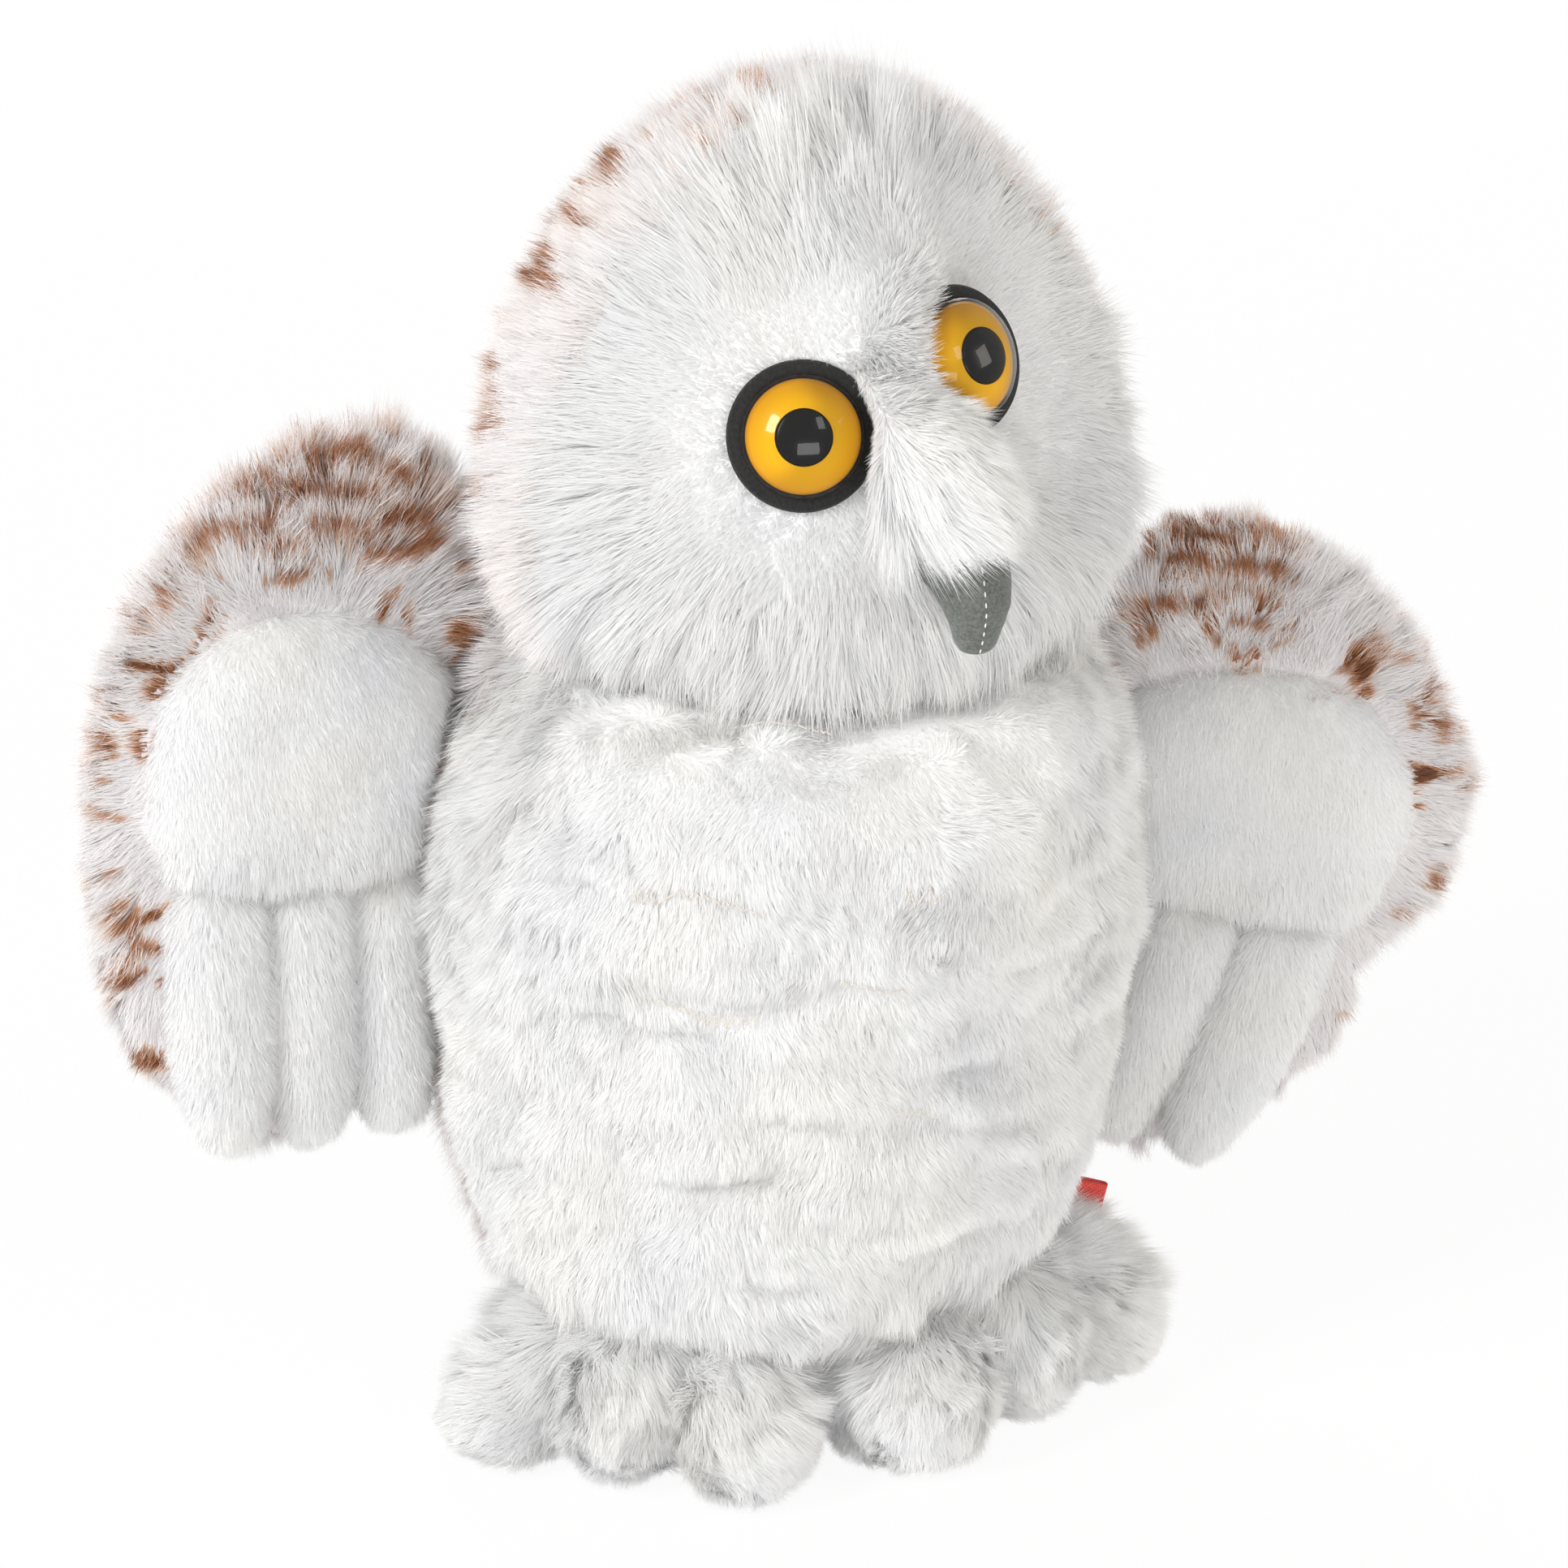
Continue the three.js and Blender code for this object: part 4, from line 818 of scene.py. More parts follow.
# The brow is stuffed between the eyes, and each eye is drawn down into the face.
points = read_points(head_cloth.data)
across = unit(eyes["left"] - eyes["right"])
ahead_of_eyes = unit(eye_ways["left"] + eye_ways["right"])
between = points - (eyes["left"] + eyes["right"]) / 2
up_face = np.cross(across, ahead_of_eyes)
up_face = up_face * np.sign(up_face[2])
brow = np.exp(-(((between @ across - BROW_OFF) / BROW_WIDE) ** 2))
brow *= eased(0.034, 0.012, np.abs(between @ up_face - 0.002))
brow *= eased(RING_RADIUS, 0.020, eye_polar(points, "right")[2]) * (between @ ahead_of_eyes > -0.02)
points = points + BROW_FILL * np.outer(brow, ahead_of_eyes)
off, _, wide = eye_polar(points, "left")
temple = eased(0.0, 0.6, unit(off) @ TEMPLE_WAY) * eased(0.052, 0.030, wide)
points = points - TEMPLE_PRESS * temple[:, None] * unit(points - HEAD_CORE)
for word in eyes:
    off, stand, wide = eye_polar(points, word)
    bowl = -0.0006 + np.maximum(0, wide - RING_RADIUS)
    sunk = np.where((wide < 0.024) & (np.abs(stand) < 0.012), np.maximum(0, stand - bowl), 0)
    if word == "left":
        sunk *= 1 - eased(0.2, 0.7, unit(off) @ BROW_WAY)
    points = points - np.outer(sunk, eye_ways[word])
write_points(head_cloth.data, points)
points, normals = skin(head_cloth)
local = points - HEAD_MIDDLE
ahead = math.sin(HEAD_TURN) * local[:, 0] - math.cos(HEAD_TURN) * local[:, 1]
aside = math.cos(HEAD_TURN) * local[:, 0] + math.sin(HEAD_TURN) * local[:, 1]
on_face = ahead > FACE_SEAM + NAPE_SHOWN * eased(0.0, -0.03, aside)
away = {word: points - eye for word, eye in eyes.items()}
eye_far = np.min([np.linalg.norm(v, axis=1) for v in away.values()], axis=0)
flow = sum(unit(v) / np.linalg.norm(v, axis=1, keepdims=True) ** 2 for v in away.values())
between = points - (eyes["left"] + eyes["right"]) / 2
mid = np.exp(-((between @ across / 0.011) ** 2)) * (between @ ahead_of_eyes > -0.02)
above_eyes = eased(-0.008, 0.004, between @ up_face)
flow = unit(flow) + 2.0 * np.outer(mid * above_eyes, up_face)
hang = eased(*HANG_RISE, points[:, 2])[:, None]
flow = along_cloth(unit(flow) + hang * (0, 0, -0.8), normals)
flow = unit(unit(flow) + 0.15 * along_cloth(swirl(points, 0.03, 41), normals))
spread = eased(0.018, 0.045, eye_far)[:, None]
comb = unit(flow * (0.6 + 0.4 * spread) + normals * (0.9 - 0.35 * spread - 0.3 * hang))
around = local * (1, 1, 0)
comb = unit(comb - 0.35 * eased(*LEAN_RISE, points[:, 2])[:, None] * unit(around))
fuzz = eased(0.020, 0.016, eye_far)[:, None]
comb = unit(comb + fuzz * 0.6 * swirl(points, 0.005, 44))
nape = unit(along_cloth((0, 1.0, -0.4), normals) + hang * (0, 0, -0.6)) * 0.7 + normals * (0.8 - 0.4 * hang)
comb = np.where(on_face[:, None], comb, unit(nape))
left_far, left_way = np.linalg.norm(away["left"], axis=1), unit(away["left"])
wide_trim = 0.016 * eased(0.0, 0.6, left_way @ TEMPLE_WAY) * eased(0.072, 0.042, left_far)
length = EYE_PILE + (FACE_PILE - EYE_PILE) * eased(0.021, 0.053, eye_far - wide_trim)
length *= 1 + hang[:, 0] * (0.2 + 0.4 * ripple(points, 0.013, 45))
crown = eased(*CROWN_RISE, points[:, 2])
length *= 1 + crown * (0.08 + 0.12 * eased(0.0, 0.02, aside))
length *= 1 + (0.13 + 0.12 * crown) * spread[:, 0] * ripple(points, 0.011, 46)
bridge_points = read_points(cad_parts["nose_bridge"].data)
by_bridge = eased(0.012, 0.004, gap_to(points, bridge_points))
length *= 1 - 0.3 * by_bridge
to_beak = along_cloth(BRIDGE_WAY + 0.6 * across, normals)
comb = unit(comb + 0.8 * (by_bridge * (1 - above_eyes))[:, None] * to_beak)
length = np.where(on_face, length, NAPE_PILE * (1 + 0.2 * hang[:, 0]))
behind = (ahead < -0.01) & (points[:, 2] > 0.185)
nape_marks = HEAD_MARKS + tuple(
    scattered(points, normals, behind, seed=6, apart=0.015, length=0.011, half_width=0.0017))
soft_tone = 0.3 + 0.2 * ripple(points, 0.05, 32)
inner = eased(0.026, 0.019, left_far) * eased(0.1, 0.6, left_way @ BROW_WAY)
length += BROW_PILE * inner * on_face
comb = unit(comb * (1 - inner[:, None]) + inner[:, None] * (normals - BROW_WAY * 0.3))
covered = eased(0.0125, 0.0150, eye_far) * (1.0 - 0.95 * (normals[:, 2] < -0.85))
# The back of the head is tinted a little, and unevenly, towards the print's tan.
nape_tone = 0.02 + 0.08 * ripple(points, 0.018, 36)
give(head_cloth.data, comb=comb, pile=length, tint=np.where(on_face, soft_tone, np.maximum(0, nape_tone)))
head_cloth.data.materials.append(white_cloth)
# The face pile's whites are darker than the body's white pile: painted shade that offsets the stronger light
# on the face. The last colour is the brown of the printed streaks, and its fibres also carry the painted
# shade at their base.
FACE_WHITES_SHADED = (
    (0.0, (0.845, 0.845, 0.85)), (0.3, (0.87, 0.87, 0.865)), (0.6, (0.88, 0.87, 0.855)),
    (1.0, (0.40, 0.26, 0.18)),
)
face_white_shaded = pile_material("face_white_shaded", FACE_WHITES_SHADED, root_shade=0.97, rough=0.6, sheen=0.1, through=0.42)
face_piles = []
for turn, half in enumerate((aside < 0, aside >= 0)):
    give(head_cloth.data, growth=on_face * half * covered * (1 + 1.4 * inner))
    face_piles.append(
        grown(f"face_pile_{turn + 1}", head_cloth, face_white_shaded, seed=201 + turn, fibres=5.2, width=0.00028,
              tufts=0.03, tuft_pull=0.3, tuft_sway=0.16, stray=0.17, tuft_shortest=0.75, shortest=0.5,
              segments=2, marks=FACE_STREAKS))
give(head_cloth.data, growth=(~on_face) * covered)
nape_pile = grown("nape_pile", head_cloth, printed_pile, seed=203, fibres=5.5, width=0.00038,
                  marks=nape_marks)
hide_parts(*HEAD_NODES)
for piece in (head_cloth, nape_pile, *face_piles):
    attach(piece, "head")

# Nose bridge: a narrow stuffed ridge of the same white pile, sewn between the eyes.
# Its pile is combed down and to both sides, over the root of the beak.
BRIDGE_GRID, BRIDGE_BACK = 0.002, 0.008
BRIDGE_PILE, BRIDGE_END_PILE, BRIDGE_SIDE_PILE = 0.0045, 0.0095, 0.004
bridge_low, bridge_high = (np.array(corner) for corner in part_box("nose_bridge"))
bridge_cloth = sewn_form("bridge_cloth", ("nose_bridge",), BRIDGE_GRID)
points = read_points(bridge_cloth.data)
down = eased(bridge_high[2], bridge_low[2], points[:, 2])
write_points(bridge_cloth.data, points - BRIDGE_BACK * np.outer(eased(0.4, 0.0, down), ahead_of_eyes))
relaxed(bridge_cloth.data, 4)
points, normals = skin(bridge_cloth)
down_now = eased(bridge_high[2], bridge_low[2], points[:, 2])
right_half = eased(0.001, -0.006, (points - (bridge_low + bridge_high) / 2) @ across) * down_now
flow = along_cloth(BRIDGE_WAY + np.outer(0.45 + 0.6 * right_half, across), normals)
comb = unit(unit(flow) * 0.9 + normals * 0.55)
clear_of_eye = eased(0.012, 0.019, eye_polar(points, "right")[2])
length = (BRIDGE_PILE + BRIDGE_END_PILE * down + BRIDGE_SIDE_PILE * right_half) * clear_of_eye
give(bridge_cloth.data, comb=comb, pile=length, tint=0.5 + 0.3 * ripple(points, 0.02, 33),
     growth=np.ones(len(points)))
bridge_cloth.data.materials.append(white_cloth)
bridge_pile = grown("bridge_pile", bridge_cloth, white_pile, seed=204, fibres=9.0, width=0.00026, tufts=0.06,
                    tuft_pull=0.25, stray=0.16, segments=2)
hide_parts("nose_bridge")
for piece in (bridge_cloth, bridge_pile):
    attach(piece, "head")

# Beak: two halves of grey felt, sewn together down the front and stuffed. A pale thread
# runs down the seam.
BEAK_GRID, BEAK_THREAD = 0.0012, 0.00038
STITCH_LONG, STITCH_PITCH = 0.0011, 0.0021
SEAM_LOW, SEAM_TOP = 0.0022, 0.006


def felt_material(name, dark, pale, sheen):
    """Pressed wool: two shades of fleck, with a rough fuzzy surface."""
    made, tree, shader = blank_material(name)
    fleck = speckle(tree, 1400.0, 4.0, 0.7)
    tree.links.new(ramped(tree, fleck, ((0.35, dark), (0.7, pale))), shader.inputs["Base Color"])
    raised(tree, shader, fleck, strength=0.6, distance=0.0006)
    shader.inputs["Roughness"].default_value = 0.95
    shader.inputs["Sheen Weight"].default_value = sheen
    return made


grey_felt = felt_material("grey_felt", (0.070, 0.078, 0.068), (0.175, 0.188, 0.168), 0.2)
BEAK_NODES = ("beak_left_felt", "beak_right_felt", "beak_stuffing")
beak = sewn_form("beak_felt", BEAK_NODES, BEAK_GRID, smooth=2)
beak.data.materials.append(grey_felt)
ahead_way = Vector((math.sin(HEAD_TURN), -math.cos(HEAD_TURN), 0))
aside_way = Vector((math.cos(HEAD_TURN), math.sin(HEAD_TURN), 0))
beak_seam = min(Vector(p) @ aside_way for p in read_points(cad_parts["beak_left_felt"].data))
beak_low, beak_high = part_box("beak_left_felt")
beak_skin = BVHTree.FromObject(beak, bpy.context.evaluated_depsgraph_get())
rows, height = [], beak_low.z + SEAM_LOW
while height < beak_high.z - SEAM_TOP:
    pair = []
    for rise in (0, STITCH_LONG):
        start = aside_way * beak_seam + ahead_way * 0.3 + Vector((0, 0, height + rise))
        place, normal, *_ = beak_skin.ray_cast(start, -ahead_way)
        if place is not None:
            pair.append(place + normal * 0.00008)
    if len(pair) == 2:
        rows.append(pair)
    height += STITCH_PITCH
beak_thread = thread_material("beak_thread", (0.62, 0.63, 0.60), (0.80, 0.81, 0.78))
beak_stitches = stitched("beak_stitches", rows, BEAK_THREAD, beak_thread)
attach(beak_stitches, "head")
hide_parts(*BEAK_NODES)
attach(beak, "head")

# Eyes: a black felt ring, an amber plastic button with a black pupil, and a clear domed
# cap. The stem goes through the face and is held by a lock washer inside the head.
EYE_RADIUS = 0.012
EYE_DOME = 0.006
PUPIL_RADIUS = 0.0056
FELT_THICK = 0.002
CAP_WALL = 0.0007
CAP_GAP = 0.0002
SEAT_GAP, BUTTON_EDGE = 0.0003, 0.0012
CAP_INDEX = 1.28


def turned(name, profile, centre, axis, sides=72):
    """A round piece turned from a profile of (radius, height) about its own axis."""
    axis = Vector(axis).normalized()
    aside = axis.cross(Vector((0, 0, 1))).normalized()
    other = axis.cross(aside)
    work = bmesh.new()
    rings = []
    for radius, height in profile:
        middle = Vector(centre) + axis * height
        if radius < 1e-7:
            rings.append([work.verts.new(middle)])
            continue
        turns = [2 * math.pi * k / sides for k in range(sides)]
        spokes = [aside * math.cos(t) + other * math.sin(t) for t in turns]
        rings.append([work.verts.new(middle + spoke * radius) for spoke in spokes])
    for first, second in zip(rings[:-1], rings[1:]):
        for k in range(sides if len(first) + len(second) > 2 else 0):
            corners = [first[k % len(first)], first[(k + 1) % len(first)],
                       second[(k + 1) % len(second)], second[k % len(second)]]
            work.faces.new(list(dict.fromkeys(corners)))
    bmesh.ops.recalc_face_normals(work, faces=work.faces)
    mesh = bpy.data.meshes.new(name)
    work.to_mesh(mesh)
    work.free()
    mesh.shade_smooth()
    return placed(name, mesh)


def dome(radius, rise, low, steps=14):
    """The profile of a slice of a ball, from its rim up to its top."""
    ball = (radius**2 + rise**2) / (2 * rise)
    widest = math.asin(radius / ball)
    turns = [widest * (1 - k / steps) for k in range(steps + 1)]
    return [(ball * math.sin(t), low + rise - ball * (1 - math.cos(t))) for t in turns]


black_felt = felt_material("black_felt", (0.005, 0.005, 0.005), (0.022, 0.021, 0.020), 0.03)


def gloss_material(name, colours, rough):
    """Moulded plastic, coloured outwards from the middle of the eye."""
    made, tree, shader = blank_material(name)
    ring = node(tree, "ShaderNodeAttribute", attribute_name="ring")
    tree.links.new(ramped(tree, out(ring, "Fac"), colours), shader.inputs["Base Color"])
    shader.inputs["Roughness"].default_value = rough
    shader.inputs["Specular IOR Level"].default_value = 0.1
    return made


# The amber darkens towards the button's rim: painted shade where the dome meets the felt ring.
AMBER_RIM_SHADED = (
    (0.0, (0.76, 0.41, 0.002)), (0.6, (0.79, 0.43, 0.002)), (0.85, (0.73, 0.36, 0.001)),
    (0.95, (0.45, 0.17, 0.001)),
)
BLACK = ((0.0, (0.004, 0.004, 0.004)), (1.0, (0.008, 0.007, 0.006)))
amber = gloss_material("amber_plastic", AMBER_RIM_SHADED, rough=0.25)
black_gloss = gloss_material("black_plastic", BLACK, rough=0.2)
clear, tree, shader = blank_material("clear_plastic")
tree.nodes.remove(shader)
bend = node(tree, "ShaderNodeFresnel", CAP_INDEX)
shine = node(tree, "ShaderNodeBsdfGlossy", (1, 1, 1, 1), 0.02)
see_through = node(tree, "ShaderNodeBsdfTransparent", (1, 1, 1, 1))
cap_shader = node(tree, "ShaderNodeMixShader", out(bend), out(see_through), out(shine))
tree.links.new(out(cap_shader), tree.nodes["Material Output"].inputs["Surface"])
washer_plastic, tree, shader = blank_material("washer_plastic")
shades = ramped(tree, speckle(tree, 300.0), ((0.3, (0.78, 0.78, 0.76)), (0.7, (0.83, 0.83, 0.81))))
tree.links.new(shades, shader.inputs["Base Color"])

for word in ("right", "left"):
    centre, axis = eyes[word], eye_ways[word]
    thick = FELT_THICK / 2
    edge = thick * 0.6
    inner_edge = RING_RADIUS - edge
    ring_profile = [(0, -thick), (inner_edge, -thick), (RING_RADIUS, 0), (inner_edge, thick), (0, thick)]
    ring = turned(word + "_eye_ring", ring_profile, centre, axis)
    seat = thick + SEAT_GAP
    rim = seat + BUTTON_EDGE
    iris_dome = dome(EYE_RADIUS - CAP_WALL - CAP_GAP, EYE_DOME - CAP_WALL - CAP_GAP, rim)
    iris = turned(word + "_eye_iris", [(0, seat)] + [(iris_dome[0][0], seat)] + iris_dome, centre, axis)
    far = read_points(iris.data) - centre
    radius = np.linalg.norm(far - np.outer(far @ axis, axis), axis=1)
    give(iris.data, ring=radius / EYE_RADIUS)
    ball = ((EYE_RADIUS - CAP_WALL) ** 2 + (EYE_DOME - CAP_WALL) ** 2) / (2 * (EYE_DOME - CAP_WALL))
    top = rim + EYE_DOME - CAP_WALL - 0.0001
    steps = [PUPIL_RADIUS * k / 8 for k in range(8, -1, -1)]
    cap_of_pupil = [(r, top - ball + math.sqrt(ball**2 - r**2)) for r in steps]
    under = cap_of_pupil[0][1] - 0.0006
    pupil = turned(word + "_eye_pupil", [(0, under), (PUPIL_RADIUS, under)] + cap_of_pupil, centre, axis)
    give(pupil.data, ring=np.zeros(len(pupil.data.vertices)))
    cap_side = [(0, seat - 0.0001), (EYE_RADIUS, seat - 0.0001)]
    cap = turned(word + "_eye_cap", cap_side + dome(EYE_RADIUS, EYE_DOME, rim), centre, axis)
    for piece, material, slot, stands_for in (
        (ring, black_felt, "black_felt", "felt_ring"), (iris, amber, "amber_plastic", "iris"),
        (pupil, black_gloss, "black_plastic", "pupil"), (cap, clear, "clear_plastic", "lens"),
    ):
        piece.data.materials.append(material)
        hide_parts(f"{word}_eye_{stands_for}")
        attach(piece, "head")
    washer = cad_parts[word + "_eye_lock_washer"]
    washer.data.materials.clear()
    washer.data.materials.append(washer_plastic)

# Wings: each a flat stuffed mitt of printed plush, with a white covert pad and three
# white feather lobes sewn on its front. It is sewn to the body's side along one seam.
PAD_KINDS = ("covert", "feather_1", "feather_2", "feather_3")
WING_GRID, WING_INSET, WING_SWELL = 0.003, 0.0024, 0.001
PAD_OUT, PAD_SWELL = {"covert": 0.0004, "feather": 0.0012}, 0.0015
WING_PILE = 0.0095
COVERT_PILE = 0.0032
FEATHER_PILE = 0.0048
COVERT_RISE = {"right": 0.004, "left": 0.0}
WING_TRIM = {"right": 0.0, "left": 0.016}
WING_FULL = {"right": 0.0, "left": 0.004}
WING_RUFF = {"right": 0.5, "left": 0.1}
WING_MARKS = {
    "right": (
        (1.3, 0.9, (-101, 1, 213), (-92, 1, 212), (-82, 2, 210)),
        (1.7, 0.65, (-93, 5, 218), (-82, 6, 217), (-74, 5, 211)),
        (1.2, 0.7, (-109, 1, 212), (-103, 2, 215)),
        (1.5, 0.75, (-117, -1, 206), (-111, -2, 207), (-104, -2, 208)),
        (1.7, 0.6, (-95, -1, 206), (-83, 1, 203)),
        (1.7, 0.95, (-79, 2, 203), (-73, 4, 204), (-66, 6, 197), (-73, 3, 196), (-82, 1, 198)),
        (1.7, 0.95, (-104, -5, 196), (-97, -4, 195)), (1.0, 0.8, (-117, -3, 202), (-116, -5, 199)),
        (1.5, 0.6, (-118, -2, 205), (-120, -2, 202)), (1.3, 0.8, (-127, -4, 195), (-127, -3, 193)),
        (1.2, 0.8, (-124, -4, 197), (-124, -4, 196)), (1.3, 0.65, (-130, -4, 190), (-132, -5, 186)),
        (0.9, 0.8, (-134, -7, 180), (-123, -9, 177), (-118, -9, 180)),
        (1.5, 0.9, (-127, -10, 173), (-125, -10, 174)),
        (0.8, 0.9, (-114, -7, 188), (-117, -8, 182), (-120, -9, 178)),
        (1.7, 0.75, (-140, -8, 164), (-139, -10, 161)), (1.5, 0.95, (-131, -11, 164), (-130, -10, 160)),
        (1.2, 0.6, (-137, -9, 169), (-135, -10, 168)), (0.9, 0.55, (-143, -8, 149), (-137, -12, 147)),
        (1.2, 0.75, (-140, -11, 128), (-135, -12, 126)), (1.2, 0.75, (-137, -11, 118), (-127, -11, 118)),
        (1.0, 0.8, (-139, -11, 123), (-129, -12, 126)), (1.2, 0.75, (-137, -11, 112), (-133, -11, 112)),
        (1.2, 0.85, (-128, -11, 111), (-126, -6, 109)), (1.5, 0.8, (-135, -6, 89), (-129, -9, 90)),
        (1.0, 0.9, (-123, -5, 86), (-122, -5, 85)), (0.8, 0.6, (-96, -3, 198), (-94, -3, 197)),
        (0.8, 0.6, (-92, -2, 195), (-91, -2, 193)), (0.8, 0.6, (-85, 0, 197), (-84, -1, 194)),
        (0.8, 0.55, (-88, -1, 199), (-87, -1, 199)), (1.5, 0.7, (-78, 0, 183), (-80, 0, 182)),
        (0.8, 0.5, (-75, 1, 180), (-74, 1, 177)), (1.2, 0.9, (-63, 7, 190), (-60, 8, 188)),
        (2.5, 0.65, (-63, 6, 174), (-60, 8, 168), (-62, 7, 166)),
    ),
    "left": (
        (1.2, 0.8, (86, 6, 181), (95, 3, 180)),
        (1.7, 0.85, (85, 4, 177), (94, 1, 176), (102, -2, 176), (109, -4, 174)),
        (1.5, 0.4, (100, 3, 183), (108, 1, 181)), (1.8, 0.85, (82, 3, 168), (89, 1, 168)),
        (2.3, 0.9, (79, 4, 161), (79, 4, 160)), (1.7, 0.85, (91, -1, 162), (97, -2, 165), (103, -4, 163)),
        (1.3, 0.8, (91, -1, 162), (93, -2, 159)), (1.2, 0.6, (96, -3, 155), (98, -4, 152)),
        (1.2, 0.6, (100, -5, 155), (101, -5, 153)), (0.8, 0.45, (104, -5, 157), (110, -6, 161)),
        (2.1, 0.95, (120, -9, 153), (124, -9, 153), (122, -10, 150)),
        (1.5, 0.7, (122, -6, 142), (123, -10, 147)), (1.5, 0.85, (112, -8, 146), (116, -9, 145)),
        (1.3, 0.8, (135, -11, 143), (136, -12, 138)), (1.3, 0.5, (132, -9, 154), (134, -9, 153)),
        (1.2, 0.6, (141, -10, 134), (142, -9, 139)), (1.7, 0.85, (139, -12, 127), (135, -12, 127)),
        (0.8, 0.9, (131, -9, 129), (132, -10, 121)), (1.2, 0.5, (141, -8, 102), (142, -9, 104)),
        (1.2, 0.7, (133, -11, 94), (134, -11, 95)), (1.3, 0.4, (71, 6, 151), (74, 4, 149)),
    ),
}
for turn, word in enumerate(("right", "left")):
    side = -1 if word == "right" else 1
    body = word + "_wing"
    pads = []
    for kind in PAD_KINDS:
        pad_node = f"{word}_wing_{kind}"
        pad = sewn_form(f"{word}_{kind}_cloth", (pad_node,), WING_GRID)
        moved_in(pad, -PAD_OUT[kind.split("_")[0]])
        if kind == "covert":
            points = read_points(pad.data)
            points[:, 2] += COVERT_RISE[word] * eased(0.0, 0.02, points[:, 2] - points[:, 2].mean())
            write_points(pad.data, points)
        plumped(pad, PAD_SWELL)
        subdivided(pad, 1)
        points, normals = skin(pad)
        flow = along_cloth((0.1 * side, 0, -1.0), normals)
        flow += 0.2 * along_cloth(swirl(points, 0.02, 51), normals)
        long = np.full(len(points), FEATHER_PILE)
        if kind == "covert":
            long = COVERT_PILE * (1 + 1.3 * eased(-0.010, -0.022, points[:, 2] - points[:, 2].mean()))
        give(pad.data, comb=unit(unit(flow) * 0.9 + normals * 0.7), pile=long,
             tint=0.45 + 0.3 * ripple(points, 0.03, 34), growth=np.ones(len(points)))
        pad.data.materials.append(white_cloth)
        nap = grown(f"{word}_{kind}_pile", pad, white_pile, seed=300 + 20 * turn + len(pads), fibres=10.0,
                    width=0.00028, stray=0.2, tufts=0.2, tuft_pull=0.15, tuft_sway=0.15, tuft_shortest=0.9)
        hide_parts(pad_node)
        for piece in (pad, nap):
            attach(piece, body)
        pads.append(pad)
    covert = np.mean(read_points(pads[0].data), axis=0)
    sewn_on = np.vstack([read_points(pad.data) for pad in pads])
    wing_nodes = (f"{word}_wing_back", f"{word}_wing_stuffing")
    pad_nodes = tuple(f"{word}_wing_{kind}" for kind in PAD_KINDS)
    wing_cloth = stuffed(f"{word}_wing_cloth", wing_nodes + pad_nodes, WING_GRID, WING_INSET, WING_SWELL)
    points = read_points(wing_cloth.data)
    below = covert[2] - points[:, 2]
    wing_tip = eased(0.018, 0.040, (points[:, 0] - covert[0]) * side)
    points[:, 0] -= side * WING_TRIM[word] * wing_tip * eased(0.026, 0.046, below)
    points[:, 0] += side * WING_FULL[word] * wing_tip * eased(0.030, 0.012, np.abs(below - 0.008))
    write_points(wing_cloth.data, points)
    points, normals = skin(wing_cloth)
    flow = along_cloth(points - covert, normals)
    flow = unit(flow) + 0.3 * along_cloth(swirl(points, 0.025, 61), normals)
    flow = flow + along_cloth((0.2 * side, 0, -0.2), normals)
    comb = unit(unit(flow) * 0.9 + normals * 0.55)
    off_pads = gap_to(points, sewn_on)
    high = points[:, 2] > points[:, 2].min() + 0.02
    behind = scattered(points, normals, (normals[:, 1] > 0.3) & high, seed=7 + turn, apart=0.015,
                       length=0.012, half_width=0.0016)
    long = WING_PILE * (0.5 + 0.5 * eased(0.003, 0.008, off_pads))
    long *= 1 + WING_RUFF[word] * eased(0.0, 0.04, points[:, 2] - covert[2])
    give(wing_cloth.data, comb=comb, pile=long, tint=np.zeros(len(points)),
         growth=eased(0.0008, 0.0022, off_pads))
    wing_cloth.data.materials.append(printed_cloth)
    wing_pile = grown(f"{word}_wing_pile", wing_cloth, printed_pile, seed=401 + turn, fibres=8.5,
                      width=0.00032, tuft_sway=0.25, marks=WING_MARKS[word] + tuple(behind))
    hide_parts(*wing_nodes)
    for piece in (wing_cloth, wing_pile):
        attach(piece, body)

